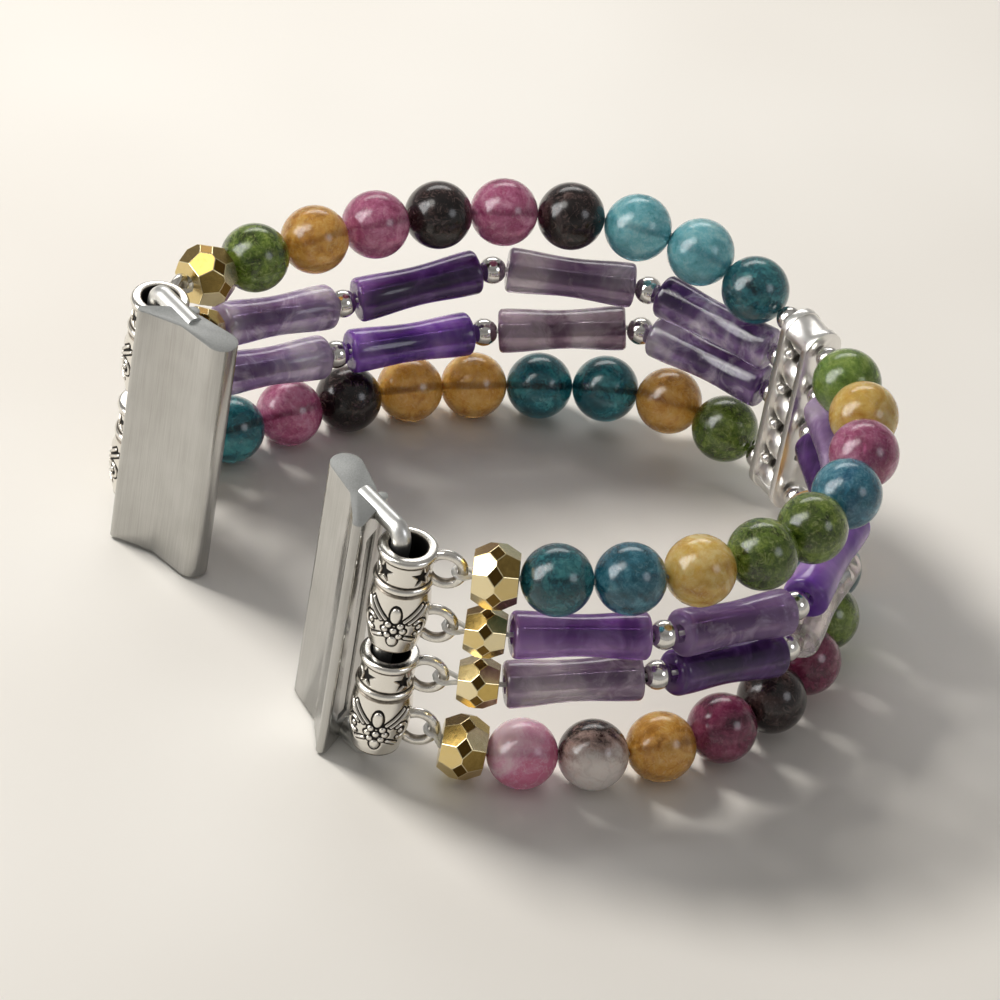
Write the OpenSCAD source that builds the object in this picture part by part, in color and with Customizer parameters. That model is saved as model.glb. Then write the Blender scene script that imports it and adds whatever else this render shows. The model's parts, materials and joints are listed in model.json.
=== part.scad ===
// Beaded stretch band for a wrist watch, standing on its edge, wrist axis along Z.
// Four strands of beads on elastic cord run from a spacer bar at the back of the
// wrist to metal bails, which hang on a wire bar fixed in a lug adapter.
// All sizes in millimetres, all angles in degrees.

/* [Band path in plan] */
// Place of the spacer bar across the band
spacer_x = 3.7; // [-10:0.1:20]
// Place of the spacer bar behind the middle of the band
spacer_y = 35.7; // [20:0.1:50]
// Heading of the strands at the spacer bar
spacer_turn = -4.7; // [-15:0.1:15]
// Length of each of the two rear arcs of a side
rear_arc = 29; // [24:0.5:34]
// Length of the front arc of a side
front_arc = 23; // [18:0.5:28]
// Length of the arc that leads to the bails
end_arc = 9.5; // [6:0.5:14]
// Bend of the right side next to the spacer bar
right_bend_1 = 47; // [35:0.5:55]
// Bend of the right side in its second arc
right_bend_2 = 52; // [40:0.5:60]
// Bend of the right side in its front arc
right_bend_3 = 26; // [10:0.5:35]
// Bend of the right side at the bails
right_bend_4 = 12; // [0:0.5:20]
// Bend of the left side next to the spacer bar
left_bend_1 = 54; // [40:0.5:60]
// Bend of the left side in its second arc
left_bend_2 = 33; // [25:0.5:45]
// Bend of the left side in its front arc
left_bend_3 = 8; // [0:0.5:20]
// Bend of the left side at the bails
left_bend_4 = 26; // [10:0.5:35]
// Turn of the right bails on their cord loops
right_bail_turn = 2; // [-15:0.5:15]
// Turn of the left bails on their cord loops
left_bail_turn = 19; // [0:0.5:25]

/* [Beads] */
// Diameter of a round stone bead
bead_d = 8; // [7:0.1:8.6]
// Round beads in each half strand
bead_count = 9; // [8:1:9]
// Length of a waisted stone tube
tube_l = 15.4; // [13:0.1:16]
// Diameter of a tube at its ends
tube_end_d = 5.5; // [4.8:0.1:5.6]
// Diameter of a tube at its waist
tube_waist_d = 4.8; // [4:0.1:5.4]
// Rounding at the rim of a tube's end
tube_rim_r = 0.5; // [0.2:0.05:0.7]
// Diameter of the silver ball between two tubes
ball_d = 3.4; // [2.6:0.1:3.6]
// Diameter of the silver ball beside the spacer bar
end_ball_d = 3; // [2.4:0.1:3.2]
// Hole through beads, tubes and balls
bore_d = 1.3; // [1.1:0.05:1.4]
// Gap between neighbours on a cord
bead_gap = 0.15; // [0.12:0.01:0.2]

/* [Gold rondelles] */
// Diameter of the rondelles on the top and base strands
rondelle_d = 7.7; // [6.5:0.1:8]
// Length of the rondelles on the top and base strands
rondelle_l = 5.1; // [4.2:0.1:5.4]
// Diameter of the rondelles on the two middle strands
small_rondelle_d = 6.1; // [5.2:0.1:6.4]
// Length of the rondelles on the two middle strands
small_rondelle_l = 4.6; // [3.8:0.1:4.8]
// Facets round a rondelle
facet_count = 8; // [7:1:10]
// Share of the diameter taken by the flat end of a rondelle
flat_share = 0.62; // [0.55:0.01:0.66]
// Hole through a rondelle, wide enough for a doubled cord
rondelle_bore_d = 1.9; // [1.8:0.05:2.1]
// Room left between a tube and a rondelle, because the strand bends there
tube_seat_gap = 0.45; // [0.35:0.05:0.6]

/* [Elastic cord] */
// Diameter of the elastic cord
cord_d = 0.6; // [0.5:0.05:0.65]
// Room between a cord's loop and the wire of the ring
loop_gap = 0.18; // [0.1:0.01:0.25]
// Half the distance between the two runs of a doubled cord
cord_split = 0.46; // [0.42:0.01:0.5]

/* [Bails] */
// Bore of a bail
bail_bore_d = 4.2; // [3.8:0.1:4.3]
// Diameter of a bail's rims
rim_d = 6.8; // [6.4:0.1:7]
// Diameter of the starred band between the rims
band_d = 6.1; // [5.8:0.1:6.4]
// Height of a star bail
star_bail_h = 4.8; // [4.6:0.1:5]
// Height of a rim
rim_h = 0.95; // [0.7:0.05:1.1]
// Outer radius of a star
star_r = 1.15; // [0.8:0.05:1.3]
// Depth of the stars
star_depth = 0.3; // [0.15:0.05:0.4]
// Height of a flower bail
flower_bail_h = 8.5; // [8.2:0.1:8.7]
// Distance from the top of a flower bail down to the middle of its ring
flower_ring_drop = 5.3; // [4.6:0.1:5.6]
// Greatest diameter of a flower bail
barrel_d = 7; // [6.8:0.1:7.2]
// Diameter of a flower bail at its foot
barrel_foot_d = 5.4; // [5:0.1:5.8]
// Height of the relief on a flower bail
relief_h = 0.25; // [0.15:0.05:0.35]
// Mean radius of a bail's ring
ring_r = 2; // [1.8:0.05:2.1]
// Diameter of the wire of a bail's ring
ring_wire_d = 1.15; // [0.9:0.05:1.2]
// Distance from a bail's axis to the middle of its ring
ring_reach = 4.35; // [4.2:0.05:4.6]
// Room between a ring and its rondelle
ring_gap = 0.26; // [0.24:0.01:0.35]
// Gap between a bail and the one that stands under it
bail_gap = 0.15; // [0.1:0.05:0.2]
// Play that the second and third bails leave between them
bail_play = 1.8; // [1.2:0.1:2]

/* [Wire bar and adapter] */
// Diameter of the wire bar
bar_d = 2.2; // [1.8:0.1:2.3]
// Distance from a bail's axis to the bar that it is pulled against
bar_offset = 0.85; // [0.7:0.05:0.87]
// Radius of the bar's bends
bar_bend_r = 1.4; // [1.2:0.1:1.6]
// Length of the bar's legs from the bar's axis into the adapter
bar_leg_l = 7.4; // [7:0.1:8]
// Length of an adapter along the slot
adapter_l = 33.2; // [30:0.1:33.6]
// Height of an adapter's lower end above the table
adapter_z = 0.4; // [0.3:0.1:0.8]
// Height of the bar's lower leg above the table
bar_low_z = 1.2; // [1.2:0.1:1.6]
// Room between a bail and the bends of the bar
bend_gap = 0.12; // [0.08:0.01:0.2]
// Radius of the round head of the adapter's tongue
head_r = 1.9; // [1.5:0.05:2.1]
// Distance from the bar to the middle of the head
head_reach = 11.8; // [11:0.1:12.5]
// Thickness of the adapter's outer plate
plate_t = 1.3; // [1:0.1:1.6]
// Depth of the dimple along the middle of the adapter's outer plate
plate_groove = 0.3; // [0.1:0.05:0.4]

/* [Spacer bar] */
// Width of the spacer bar along the strands
spacer_w = 5.2; // [4.6:0.1:6]
// Depth of the spacer bar from inside to outside
spacer_depth = 5.2; // [4.8:0.1:6]
// Thickness of its two plates
spacer_plate_t = 0.9; // [0.7:0.05:1.2]
// Distance between its bores
spacer_pitch = 5.3; // [5.1:0.1:5.4]
// Number of its bores
spacer_bores = 5; // [5:1:5]
// Height of its lowest bore above the table
spacer_z = 5.8; // [5:0.1:7]
// Diameter of the bosses round its bores
boss_d = 4.4; // [3.8:0.1:4.8]
// Diameter of the granules between its bosses
granule_d = 1.3; // [1:0.05:1.5]

/* [Hidden] */
$fn = 48;

RIGHT = 0;
LEFT = 1;
SIDES = [RIGHT, LEFT];
STRANDS = [0, 1, 2, 3];
TUBES = 4;

// Heights of the strands above the table, as pairs of distance from the spacer
// bar and height. The last pair of each is at its bail.
half_spacer = spacer_w / 2;
function bore_z(n) = spacer_z + n * spacer_pitch;
top_z = bore_z(4);
base_ring_z = bar_low_z + bar_bend_r + bend_gap + flower_bail_h - flower_ring_drop;
bail_top_z = base_ring_z + flower_ring_drop + star_bail_h * 2 + flower_bail_h
    + bail_gap * 2 + bail_play;
ring_z = [
    bail_top_z - star_bail_h / 2,
    bail_top_z - star_bail_h - bail_gap - flower_ring_drop,
    bail_top_z - star_bail_h * 1.5 - bail_gap - flower_bail_h - bail_play,
    base_ring_z
];
rest_z = bead_d / 2;
heights = [
    [
        [[half_spacer, top_z], [10, 27.5], [18, 30.1], [40, 30.3], [60, 30.3],
            [78, 29.5], [84, ring_z[0]]],
        [[half_spacer, bore_z(3)], [10, 20.5], [23, 19.5], [42, 18.9], [61, 21.6],
            [78, 21.4], [84, ring_z[1]]],
        [[half_spacer, bore_z(2)], [10, 14.5], [23, 13.6], [42, 12.5], [61, 15.8],
            [78, 14.1], [84, ring_z[2]]],
        [[half_spacer, bore_z(0)], [10, 7.3], [23, 6], [42, 4.9], [60, rest_z],
            [80, rest_z], [84, rest_z + 0.2]]
    ],
    [
        [[half_spacer, top_z], [10, 27.5], [18, 30.1], [40, 30.3], [60, 30.3],
            [78, 29.5], [84, ring_z[0]]],
        [[half_spacer, bore_z(3)], [10, 20.6], [23, 21.5], [42, 21.7], [61, 18.9],
            [78, 20.8], [84, ring_z[1]]],
        [[half_spacer, bore_z(2)], [10, 14.7], [23, 15.5], [42, 12], [61, 11.3],
            [78, 13.2], [84, ring_z[2]]],
        [[half_spacer, bore_z(0)], [10, 7.3], [18, 7], [27, 5.4], [36, rest_z],
            [80, rest_z], [84, rest_z + 0.2]]
    ]
];

// Plan path: each side is a chain of arcs that starts at the spacer bar.
arcs = [
    [[rear_arc, -right_bend_1], [rear_arc, -right_bend_2], [front_arc, -right_bend_3],
        [end_arc, -right_bend_4]],
    [[rear_arc, left_bend_1], [rear_arc, left_bend_2], [front_arc, left_bend_3],
        [end_arc, left_bend_4]]
];
start = [
    [spacer_x, spacer_y, spacer_turn],
    [spacer_x, spacer_y, spacer_turn + 180]
];

// State [x, y, heading] after an arc of the given length and turn.
function along_arc(from, length, turn) =
    abs(turn) < 0.001
    ? [from[0] + length * cos(from[2]), from[1] + length * sin(from[2]), from[2]]
    : let (r = length / (turn * PI / 180))
        [from[0] + r * (sin(from[2] + turn) - sin(from[2])),
            from[1] + r * (cos(from[2]) - cos(from[2] + turn)), from[2] + turn];
// State after a distance along a chain of arcs, straight on past its end.
function walk(from, chain, distance, i = 0) =
    i >= len(chain) ? along_arc(from, distance, 0)
    : distance <= chain[i][0]
    ? along_arc(from, distance, chain[i][1] * distance / chain[i][0])
    : walk(along_arc(from, chain[i][0], chain[i][1]), chain, distance - chain[i][0], i + 1);
function state(side, s) = walk(start[side], arcs[side], s);
function point(side, strand, s) =
    let (p = state(side, s)) [p[0], p[1], lookup(s, heights[side][strand])];

// Distance along the path at which the straight length from s0 is reached.
function reach(side, strand, s0, length, guess, turns = 5) =
    turns == 0 ? guess
    : reach(side, strand, s0, length,
        s0 + (guess - s0) * length
            / norm(point(side, strand, guess) - point(side, strand, s0)),
        turns - 1);
function stations(side, strand, lengths, s, i = 0) =
    i == len(lengths) ? [s]
    : concat([s], stations(side, strand, lengths,
        reach(side, strand, s, lengths[i], s + lengths[i]), i + 1));

// Room that each piece takes on its cord, from the spacer bar to the bail.
round_lengths = concat([end_ball_d + bead_gap],
    [for (i = [1:bead_count]) bead_d + bead_gap], [rondelle_l + bead_gap]);
tube_lengths = concat([end_ball_d + bead_gap],
    [for (i = [1:TUBES - 1]) each [tube_l + bead_gap, ball_d + bead_gap]],
    [tube_l + bead_gap, tube_seat_gap, small_rondelle_l + bead_gap]);
function is_round(strand) = strand == 0 || strand == 3;
function lengths_of(strand) = is_round(strand) ? round_lengths : tube_lengths;
path = [for (side = SIDES) [for (strand = STRANDS)
    stations(side, strand, lengths_of(strand), half_spacer)]];
points = [for (side = SIDES) [for (strand = STRANDS)
    [for (s = path[side][strand]) point(side, strand, s)]]];

// Where the bails stand: the longest strand sets the place of the loops, and the
// bails are turned on them.
wire_reach = ring_reach + ring_r;
end_s = [for (side = SIDES) max([for (strand = STRANDS)
    path[side][strand][len(path[side][strand]) - 1]]) + ring_gap + ring_wire_d / 2];
end_state = [for (side = SIDES) state(side, end_s[side])];
bail_heading = [end_state[RIGHT][2] + right_bail_turn, end_state[LEFT][2] + left_bail_turn];
function beyond_loop(side, distance) =
    [end_state[side][0] + distance * cos(bail_heading[side]),
        end_state[side][1] + distance * sin(bail_heading[side])];
bail_at = [for (side = SIDES) beyond_loop(side, wire_reach)];
bail_turn = [for (side = SIDES) bail_heading[side] + 180];
bar_at = [for (side = SIDES) beyond_loop(side, wire_reach + bar_offset)];

function unit(v) = v / norm(v);

// Puts its children, drawn along Z and centred, on the middle of a piece's room.
module on_cord(side, strand, i) {
    a = points[side][strand][i];
    b = points[side][strand][i + 1];
    d = b - a;
    translate((a + b) / 2)
        rotate([0, acos(d[2] / norm(d)), atan2(d[1], d[0])])
            children();
}

module drilled_ball(d) {
    difference() {
        sphere(d = d);
        cylinder(d = bore_d, h = d + 1, center = true);
    }
}

// Stones of the top and base strands, from the spacer bar to the bails.
TEAL = 0;
YELLOW = 1;
GREEN = 2;
PINK = 3;
BROWN = 4;
top_stones = [
    [GREEN, YELLOW, PINK, TEAL, GREEN, GREEN, YELLOW, TEAL, TEAL],
    [TEAL, TEAL, TEAL, BROWN, PINK, BROWN, PINK, YELLOW, GREEN]
];
base_stones = [
    [YELLOW, TEAL, GREEN, PINK, BROWN, PINK, YELLOW, BROWN, PINK],
    [GREEN, YELLOW, TEAL, TEAL, YELLOW, YELLOW, BROWN, PINK, TEAL]
];

module stone_beads(strand, stones, stone) {
    for (side = SIDES) {
        for (i = [0:bead_count - 1]) {
            if (stones[side][i] == stone)
                on_cord(side, strand, i + 1) drilled_ball(bead_d);
        }
    }
}

module top_beads(stone) {
    stone_beads(0, top_stones, stone);
}

module base_beads(stone) {
    stone_beads(3, base_stones, stone);
}

module silver_balls(strand) {
    color("silver") {
        for (side = SIDES) {
            on_cord(side, strand, 0) drilled_ball(end_ball_d);
            if (!is_round(strand)) {
                for (i = [1:TUBES - 1])
                    on_cord(side, strand, 2 * i) drilled_ball(ball_d);
            }
        }
    }
}

// Waisted tube: the radius follows a cosine from the waist to the ends.
tube_steps = 8;
countersink = 0.45;
function tube_r(t) = (tube_waist_d + (tube_end_d - tube_waist_d) * (1 - cos(t * 180)) / 2) / 2;
tube_side = [for (i = [-tube_steps:tube_steps])
    [tube_r(abs(i) / tube_steps), i / tube_steps * (tube_l / 2 - tube_rim_r)]];
tube_profile = concat(
    [[bore_d / 2, -tube_l / 2 + countersink], [bore_d / 2 + countersink, -tube_l / 2],
        [tube_end_d / 2 - tube_rim_r, -tube_l / 2],
        [tube_end_d / 2 - tube_rim_r * 0.3, -tube_l / 2 + tube_rim_r * 0.3]],
    tube_side,
    [[tube_end_d / 2 - tube_rim_r * 0.3, tube_l / 2 - tube_rim_r * 0.3],
        [tube_end_d / 2 - tube_rim_r, tube_l / 2],
        [bore_d / 2 + countersink, tube_l / 2], [bore_d / 2, tube_l / 2 - countersink]]);

module stone_tube(side, strand, number) {
    color([0.45, 0.27, 0.65])
        on_cord(side, strand, 2 * (TUBES - number) + 1)
            rotate_extrude() polygon(tube_profile);
}

// Faceted rondelle: a row of rhombs round the middle, kites on both sides of it
// and triangles against the two flat ends, all of them plane.
module rondelle_body(d, l) {
    n = facet_count;
    r = d / 2;
    flat_r = r * flat_share;
    mid_r = r * cos(180 / n);
    mid_x = (r - mid_r * cos(180 / n)) * (l / 2) / (r - flat_r);
    function ring(radius, z, shift) =
        [for (i = [0:n - 1]) let (a = (i + shift) * 360 / n)
            [radius * cos(a), radius * sin(a), z]];
    corners = concat(ring(flat_r, -l / 2, 0), ring(mid_r, -mid_x, 0.5), ring(r, 0, 0),
        ring(mid_r, mid_x, 0.5), ring(flat_r, l / 2, 0));
    function at(row, i) = row * n + (i + n) % n;
    sides = [for (i = [0:n - 1]) each [
        [at(1, i), at(2, i), at(3, i)], [at(1, i), at(3, i), at(2, i + 1)],
        [at(0, i), at(1, i - 1), at(2, i)], [at(0, i), at(2, i), at(1, i)],
        [at(4, i), at(2, i), at(3, i - 1)], [at(4, i), at(3, i), at(2, i)],
        [at(0, i), at(1, i), at(0, i + 1)], [at(4, i), at(4, i + 1), at(3, i)]]];
    low_end = [[for (i = [0:n - 1]) at(0, i)]];
    high_end = [[for (i = [n - 1:-1:0]) at(4, i)]];
    polyhedron(corners, concat(sides, low_end, high_end));
}

module rondelle(side, strand) {
    chamfer = 0.35;
    d = is_round(strand) ? rondelle_d : small_rondelle_d;
    l = is_round(strand) ? rondelle_l : small_rondelle_l;
    color("goldenrod")
        on_cord(side, strand, len(lengths_of(strand)) - 1)
            difference() {
                rondelle_body(d, l);
                cylinder(d = rondelle_bore_d, h = l + 1, center = true);
                for (end = [-1, 1])
                    translate([0, 0, end * (l / 2 + 0.01)])
                        mirror([0, 0, end > 0 ? 1 : 0])
                            cylinder(r1 = rondelle_bore_d / 2 + chamfer,
                                r2 = rondelle_bore_d / 2, h = chamfer);
            }
}

// Ring of a bail: it stands in the plane of the bail's axis and the strand.
module bail_ring(z) {
    translate([ring_reach, 0, z])
        rotate([90, 0, 0])
            rotate_extrude() translate([ring_r, 0]) circle(d = ring_wire_d);
}

STAR_POINTS = 5;
star_inner_share = 0.42;
module star_shape(r) {
    polygon([for (i = [0:2 * STAR_POINTS - 1])
        let (a = 90 + i * 180 / STAR_POINTS, reach = i % 2 == 0 ? r : r * star_inner_share)
            [reach * cos(a), reach * sin(a)]]);
}

// Draws a flat shape on the outside of a barrel, facing the given way.
module facing(angle, z, reach) {
    rotate([0, 0, angle])
        translate([0, 0, z])
            rotate([90, 0, 90])
                linear_extrude(height = reach) children();
}

// Drawn upright with its lower end at z = 0 and its ring towards +X.
module star_bail_body() {
    rim_r = rim_d / 2;
    band_r = band_d / 2;
    soft = rim_h / 3;
    h = star_bail_h;
    fillet = 0.1;
    star_turns = [45, 135, 225, 315];
    difference() {
        union() {
            rotate_extrude()
                polygon([[0, 0], [rim_r - soft, 0], [rim_r, soft], [rim_r, rim_h - soft],
                    [rim_r - soft, rim_h], [band_r, rim_h + fillet],
                    [band_r, h - rim_h - fillet],
                    [rim_r - soft, h - rim_h], [rim_r, h - rim_h + soft],
                    [rim_r, h - soft], [rim_r - soft, h], [0, h]]);
            bail_ring(h / 2);
        }
        translate([0, 0, -1]) cylinder(d = bail_bore_d, h = h + 2);
        for (turn = star_turns)
            intersection() {
                facing(turn, h / 2, rim_d) star_shape(star_r);
                difference() {
                    cylinder(r = band_r + 1, h = h);
                    translate([0, 0, -1]) cylinder(r = band_r - star_depth, h = h + 2);
                }
            }
    }
}

module slot_shape(length, width) {
    square([length - width, width], center = true);
    for (end = [-1, 1])
        translate([end * (length - width) / 2, 0]) circle(d = width);
}

// Flower of the barrel: a bead, six small petals and two long ones up and down,
// with curled leaves and a pair of sepals on each side.
petal_r = 0.34;
petal_ring = 0.85;
petal_turns = [0, 45, 135, 180, 225, 315];
long_petal_w = 0.95;
long_petal_l = 1.9;
long_petal_overlap = 0.2;
leaf_w = 0.4;
// Each curled leaf: place of its middle, radius and the angles it runs between.
leaves = [[[2.1, -0.2], 0.5, -140, 100], [[2.15, -0.1], 1.25, -70, 60]];
// Each sepal: place of its middle and its length.
sepals = [[[0.7, 1.9], 2.6], [[1.3, 1.5], 2.2]];
sepal_turn = 40;
module curl(radius, from, to) {
    intersection() {
        difference() {
            circle(r = radius + leaf_w / 2);
            circle(r = radius - leaf_w / 2);
        }
        polygon(concat([[0, 0]], [for (a = [from, (from + to) / 2, to])
            3 * radius * [cos(a), sin(a)]]));
    }
}
module flower_shape() {
    circle(r = petal_r);
    for (turn = petal_turns)
        rotate(turn) translate([petal_ring, 0]) circle(r = petal_r);
    for (up = [-1, 1])
        translate([0, up * (petal_ring + long_petal_l / 2 - long_petal_overlap)])
            rotate(90) slot_shape(long_petal_l, long_petal_w);
    for (across = [0, 1])
        mirror([across, 0]) {
            for (leaf = leaves)
                translate(leaf[0]) curl(leaf[1], leaf[2], leaf[3]);
            for (sepal = sepals)
                translate(sepal[0]) rotate(sepal_turn) slot_shape(sepal[1], leaf_w);
        }
}

// Radius of the barrel at a share of its height, fullest above the middle.
barrel_steps = 8;
barrel_full = 0.6;
barrel_top_r = rim_d / 2 - 0.25;
flower_share = 0.45;
function barrel_r(t) =
    t < barrel_full
    ? barrel_foot_d / 2 + (barrel_d - barrel_foot_d) / 2 * sin(90 * t / barrel_full)
    : barrel_top_r + (barrel_d / 2 - barrel_top_r)
        * cos(90 * (t - barrel_full) / (1 - barrel_full));
function barrel_outline(extra) = concat([[0, 0]],
    [for (i = [0:barrel_steps])
        [barrel_r(i / barrel_steps) + extra, i / barrel_steps * flower_bail_h]],
    [[0, flower_bail_h]]);

module flower_bail_body() {
    flower_z = flower_bail_h * flower_share;
    flower_turns = [-90, 90];
    difference() {
        union() {
            rotate_extrude() polygon(barrel_outline(0));
            for (turn = flower_turns)
                intersection() {
                    rotate_extrude() polygon(barrel_outline(relief_h));
                    facing(turn, flower_z, barrel_d) flower_shape();
                }
            bail_ring(flower_bail_h - flower_ring_drop);
        }
        translate([0, 0, -1]) cylinder(d = bail_bore_d, h = flower_bail_h + 2);
    }
}

module place_bail(side, z) {
    translate([bail_at[side][0], bail_at[side][1], z])
        rotate([0, 0, bail_turn[side]]) children();
}

module bail(side, strand) {
    color([0.75, 0.74, 0.7]) {
        if (strand == 0 || strand == 2)
            place_bail(side, ring_z[strand] - star_bail_h / 2) star_bail_body();
        else
            place_bail(side, ring_z[strand] + flower_ring_drop - flower_bail_h)
                flower_bail_body();
    }
}

// Elastic cord: through every bead of a strand, round the wire of the ring at
// each end and back into the rondelle, where the knot is hidden.
cord_r = cord_d / 2;
loop_r = ring_wire_d / 2 + cord_r + loop_gap;
loop_steps = 6;
loop_wrap = 200;
start_share = 0.3;
knot_share = 0.45;
function end_loop(side, strand) =
    let (
        n = len(points[side][strand]),
        inner = points[side][strand][n - 2],
        outer = points[side][strand][n - 1],
        e = end_state[side],
        across = [-sin(e[2]), cos(e[2]), 0],
        ahead = [cos(e[2]), sin(e[2]), 0],
        wire = [e[0], e[1], ring_z[strand]]
    )
    concat(
        [inner + (outer - inner) * start_share - across * cord_split,
            outer - across * cord_split],
        [for (i = [0:loop_steps]) let (a = (i / loop_steps - 0.5) * loop_wrap)
            wire + loop_r * (cos(a) * ahead + sin(a) * across)],
        [outer + across * cord_split,
            inner + (outer - inner) * knot_share + across * cord_split]
    );
function half_route(side, strand) =
    let (p = points[side][strand])
        concat([for (i = [0:len(p) - 2]) p[i]], end_loop(side, strand));
function reversed(list) = [for (i = [len(list) - 1:-1:0]) list[i]];
function cord_route(strand) =
    concat(reversed(half_route(LEFT, strand)), half_route(RIGHT, strand));

cord_sides = 8;
module swept_cord(route) {
    n = len(route);
    m = cord_sides;
    rings = [for (i = [0:n - 1])
        let (
            before = unit(route[max(i, 1)] - route[max(i, 1) - 1]),
            after = unit(route[min(i, n - 2) + 1] - route[min(i, n - 2)]),
            t = unit(before + after),
            side = unit(cross([0, 0, 1], t)),
            up = cross(t, side),
            stretch = 1 / cos(acos(min(1, before * after)) / 2)
        )
        for (k = [0:m - 1]) let (a = (k + 0.5) * 360 / m)
            route[i] + cord_r * (stretch * cos(a) * side + sin(a) * up)];
    walls = [for (i = [0:n - 2]) for (k = [0:m - 1])
        let (a = i * m + k, b = i * m + (k + 1) % m) each [[a, b, b + m], [a, b + m, a + m]]];
    first = [[for (k = [m - 1:-1:0]) k]];
    last = [[for (k = [0:m - 1]) (n - 1) * m + k]];
    polyhedron(rings, [for (f = concat(walls, first, last)) reversed(f)]);
}

module cord(strand) {
    color([0.85, 0.86, 0.88]) swept_cord(cord_route(strand));
}

// Spacer bar: two plates with round ends, bored bosses between them, a granule
// pair between neighbouring bosses and a rim round each end.
module spacer_bar() {
    mid_z = (bore_z(0) + bore_z(spacer_bores - 1)) / 2;
    run = (spacer_bores - 1) * spacer_pitch;
    inside = spacer_w - 2 * spacer_plate_t;
    bulge = 0.35;
    sink = 0.1;
    cap_in = 0.4;
    granule_share = 0.3;
    granule_sink = granule_d * 0.35;
    color([0.78, 0.78, 0.76])
        translate([spacer_x, spacer_y, mid_z])
            rotate([0, 0, spacer_turn])
                rotate([0, 90, 0])
                    difference() {
                        union() {
                            for (end = [-1, 1])
                                translate([0, 0, end * (spacer_w - spacer_plate_t) / 2])
                                    linear_extrude(height = spacer_plate_t, center = true)
                                        slot_shape(run + spacer_depth, spacer_depth);
                            for (i = [0:spacer_bores - 1])
                                translate([i * spacer_pitch - run / 2, 0, 0])
                                    rotate_extrude()
                                        polygon([[0, -inside / 2 - sink],
                                            [boss_d / 2 - bulge, -inside / 2 - sink],
                                            [boss_d / 2, -inside / 6],
                                            [boss_d / 2, inside / 6],
                                            [boss_d / 2 - bulge, inside / 2 + sink],
                                            [0, inside / 2 + sink]]);
                            for (i = [0:spacer_bores - 2])
                                for (end = [-1, 1])
                                    for (face = [-1, 1])
                                        translate([(i + 0.5) * spacer_pitch - run / 2,
                                            face * spacer_depth * granule_share,
                                            end * (inside / 2 - granule_sink)])
                                            sphere(d = granule_d);
                            for (end = [-1, 1])
                                intersection() {
                                    difference() {
                                        translate([end * run / 2, 0, 0])
                                            cylinder(d = spacer_depth - cap_in,
                                                h = spacer_w - cap_in, center = true);
                                        translate([end * run / 2, 0, 0])
                                            cylinder(d = boss_d - 2 * bulge,
                                                h = spacer_w, center = true);
                                    }
                                    translate([end * (run / 2 + spacer_depth), 0, 0])
                                        cube([2 * spacer_depth, spacer_depth, spacer_w],
                                            center = true);
                                }
                        }
                        for (i = [0:spacer_bores - 1])
                            translate([i * spacer_pitch - run / 2, 0, 0])
                                cylinder(d = bore_d, h = spacer_w + 1, center = true);
                    }
}

// Wire bar: a staple whose legs run into the adapter. Drawn with the bar's axis
// on Z and the legs towards -X.
bar_top_z = bail_top_z + bend_gap + bar_bend_r;
module wire_bar_body() {
    h = bar_top_z - bar_low_z - 2 * bar_bend_r;
    translate([0, 0, bar_low_z + bar_bend_r]) cylinder(d = bar_d, h = h);
    for (leg = [[bar_low_z + bar_bend_r, 1], [bar_top_z - bar_bend_r, 0]])
        translate([-bar_bend_r, 0, leg[0]])
            mirror([0, 0, leg[1]])
                rotate([90, 0, 0])
                    rotate_extrude(angle = 90)
                        translate([bar_bend_r, 0]) circle(d = bar_d);
    for (z = [bar_low_z, bar_top_z])
        translate([-bar_leg_l, 0, z])
            rotate([0, 90, 0]) cylinder(d = bar_d, h = bar_leg_l - bar_bend_r);
}

// Lug adapter: a tongue with a round head, a neck and an outer plate, drawn in
// plan for the right side with the bar's axis at the origin.
head_y = 0.7;
waist_x = -7.2;
waist_y = -0.3;
waist_r = 1.6;
plate_inner = [-5.6, 1.1];
plate_outer = [-2.9, -4];
module adapter_plan() {
    plate_dir = unit(plate_outer - plate_inner);
    plate_side = [-plate_dir[1], plate_dir[0]] * plate_t / 2;
    head_at = [-head_reach, head_y];
    taper = unit([waist_x, waist_y] - head_at);
    taper_side = [-taper[1], taper[0]];
    translate(head_at) circle(r = head_r);
    polygon([head_at + taper_side * head_r, head_at - taper_side * head_r,
        [waist_x, waist_y] - taper_side * waist_r,
        plate_outer - plate_side,
        plate_inner - plate_side,
        [waist_x, waist_y] + taper_side * waist_r]);
    for (end = [plate_inner, plate_outer])
        translate(end) circle(d = plate_t);
    polygon([plate_inner + plate_side, plate_inner - plate_side,
        plate_outer - plate_side, plate_outer + plate_side]);
}

module adapter_body() {
    plate_dir = unit(plate_outer - plate_inner);
    plate_side = [-plate_dir[1], plate_dir[0]];
    face_mid = (plate_inner + plate_outer) / 2 + plate_side * plate_t / 2;
    press_room = 0.02;
    dimple_w = 2.4;
    dimple_share = 0.8;
    difference() {
        translate([0, 0, adapter_z]) linear_extrude(height = adapter_l) adapter_plan();
        for (z = [bar_low_z, bar_top_z])
            translate([-bar_leg_l, 0, z])
                rotate([0, 90, 0]) cylinder(d = bar_d + press_room, h = bar_leg_l);
        translate([face_mid[0], face_mid[1], adapter_z + adapter_l / 2])
            rotate([0, 0, atan2(plate_dir[1], plate_dir[0])])
                cube([dimple_w, 2 * plate_groove, adapter_l * dimple_share], center = true);
    }
}

// Sets a piece of the bar's frame on one side, mirrored for the left one.
module at_bar(side) {
    translate([bar_at[side][0], bar_at[side][1], 0])
        mirror([side, 0, 0]) children();
}

module wire_bar(side) {
    color([0.8, 0.8, 0.8]) at_bar(side) wire_bar_body();
}

module adapter(side) {
    color([0.7, 0.7, 0.7]) at_bar(side) adapter_body();
}

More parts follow.
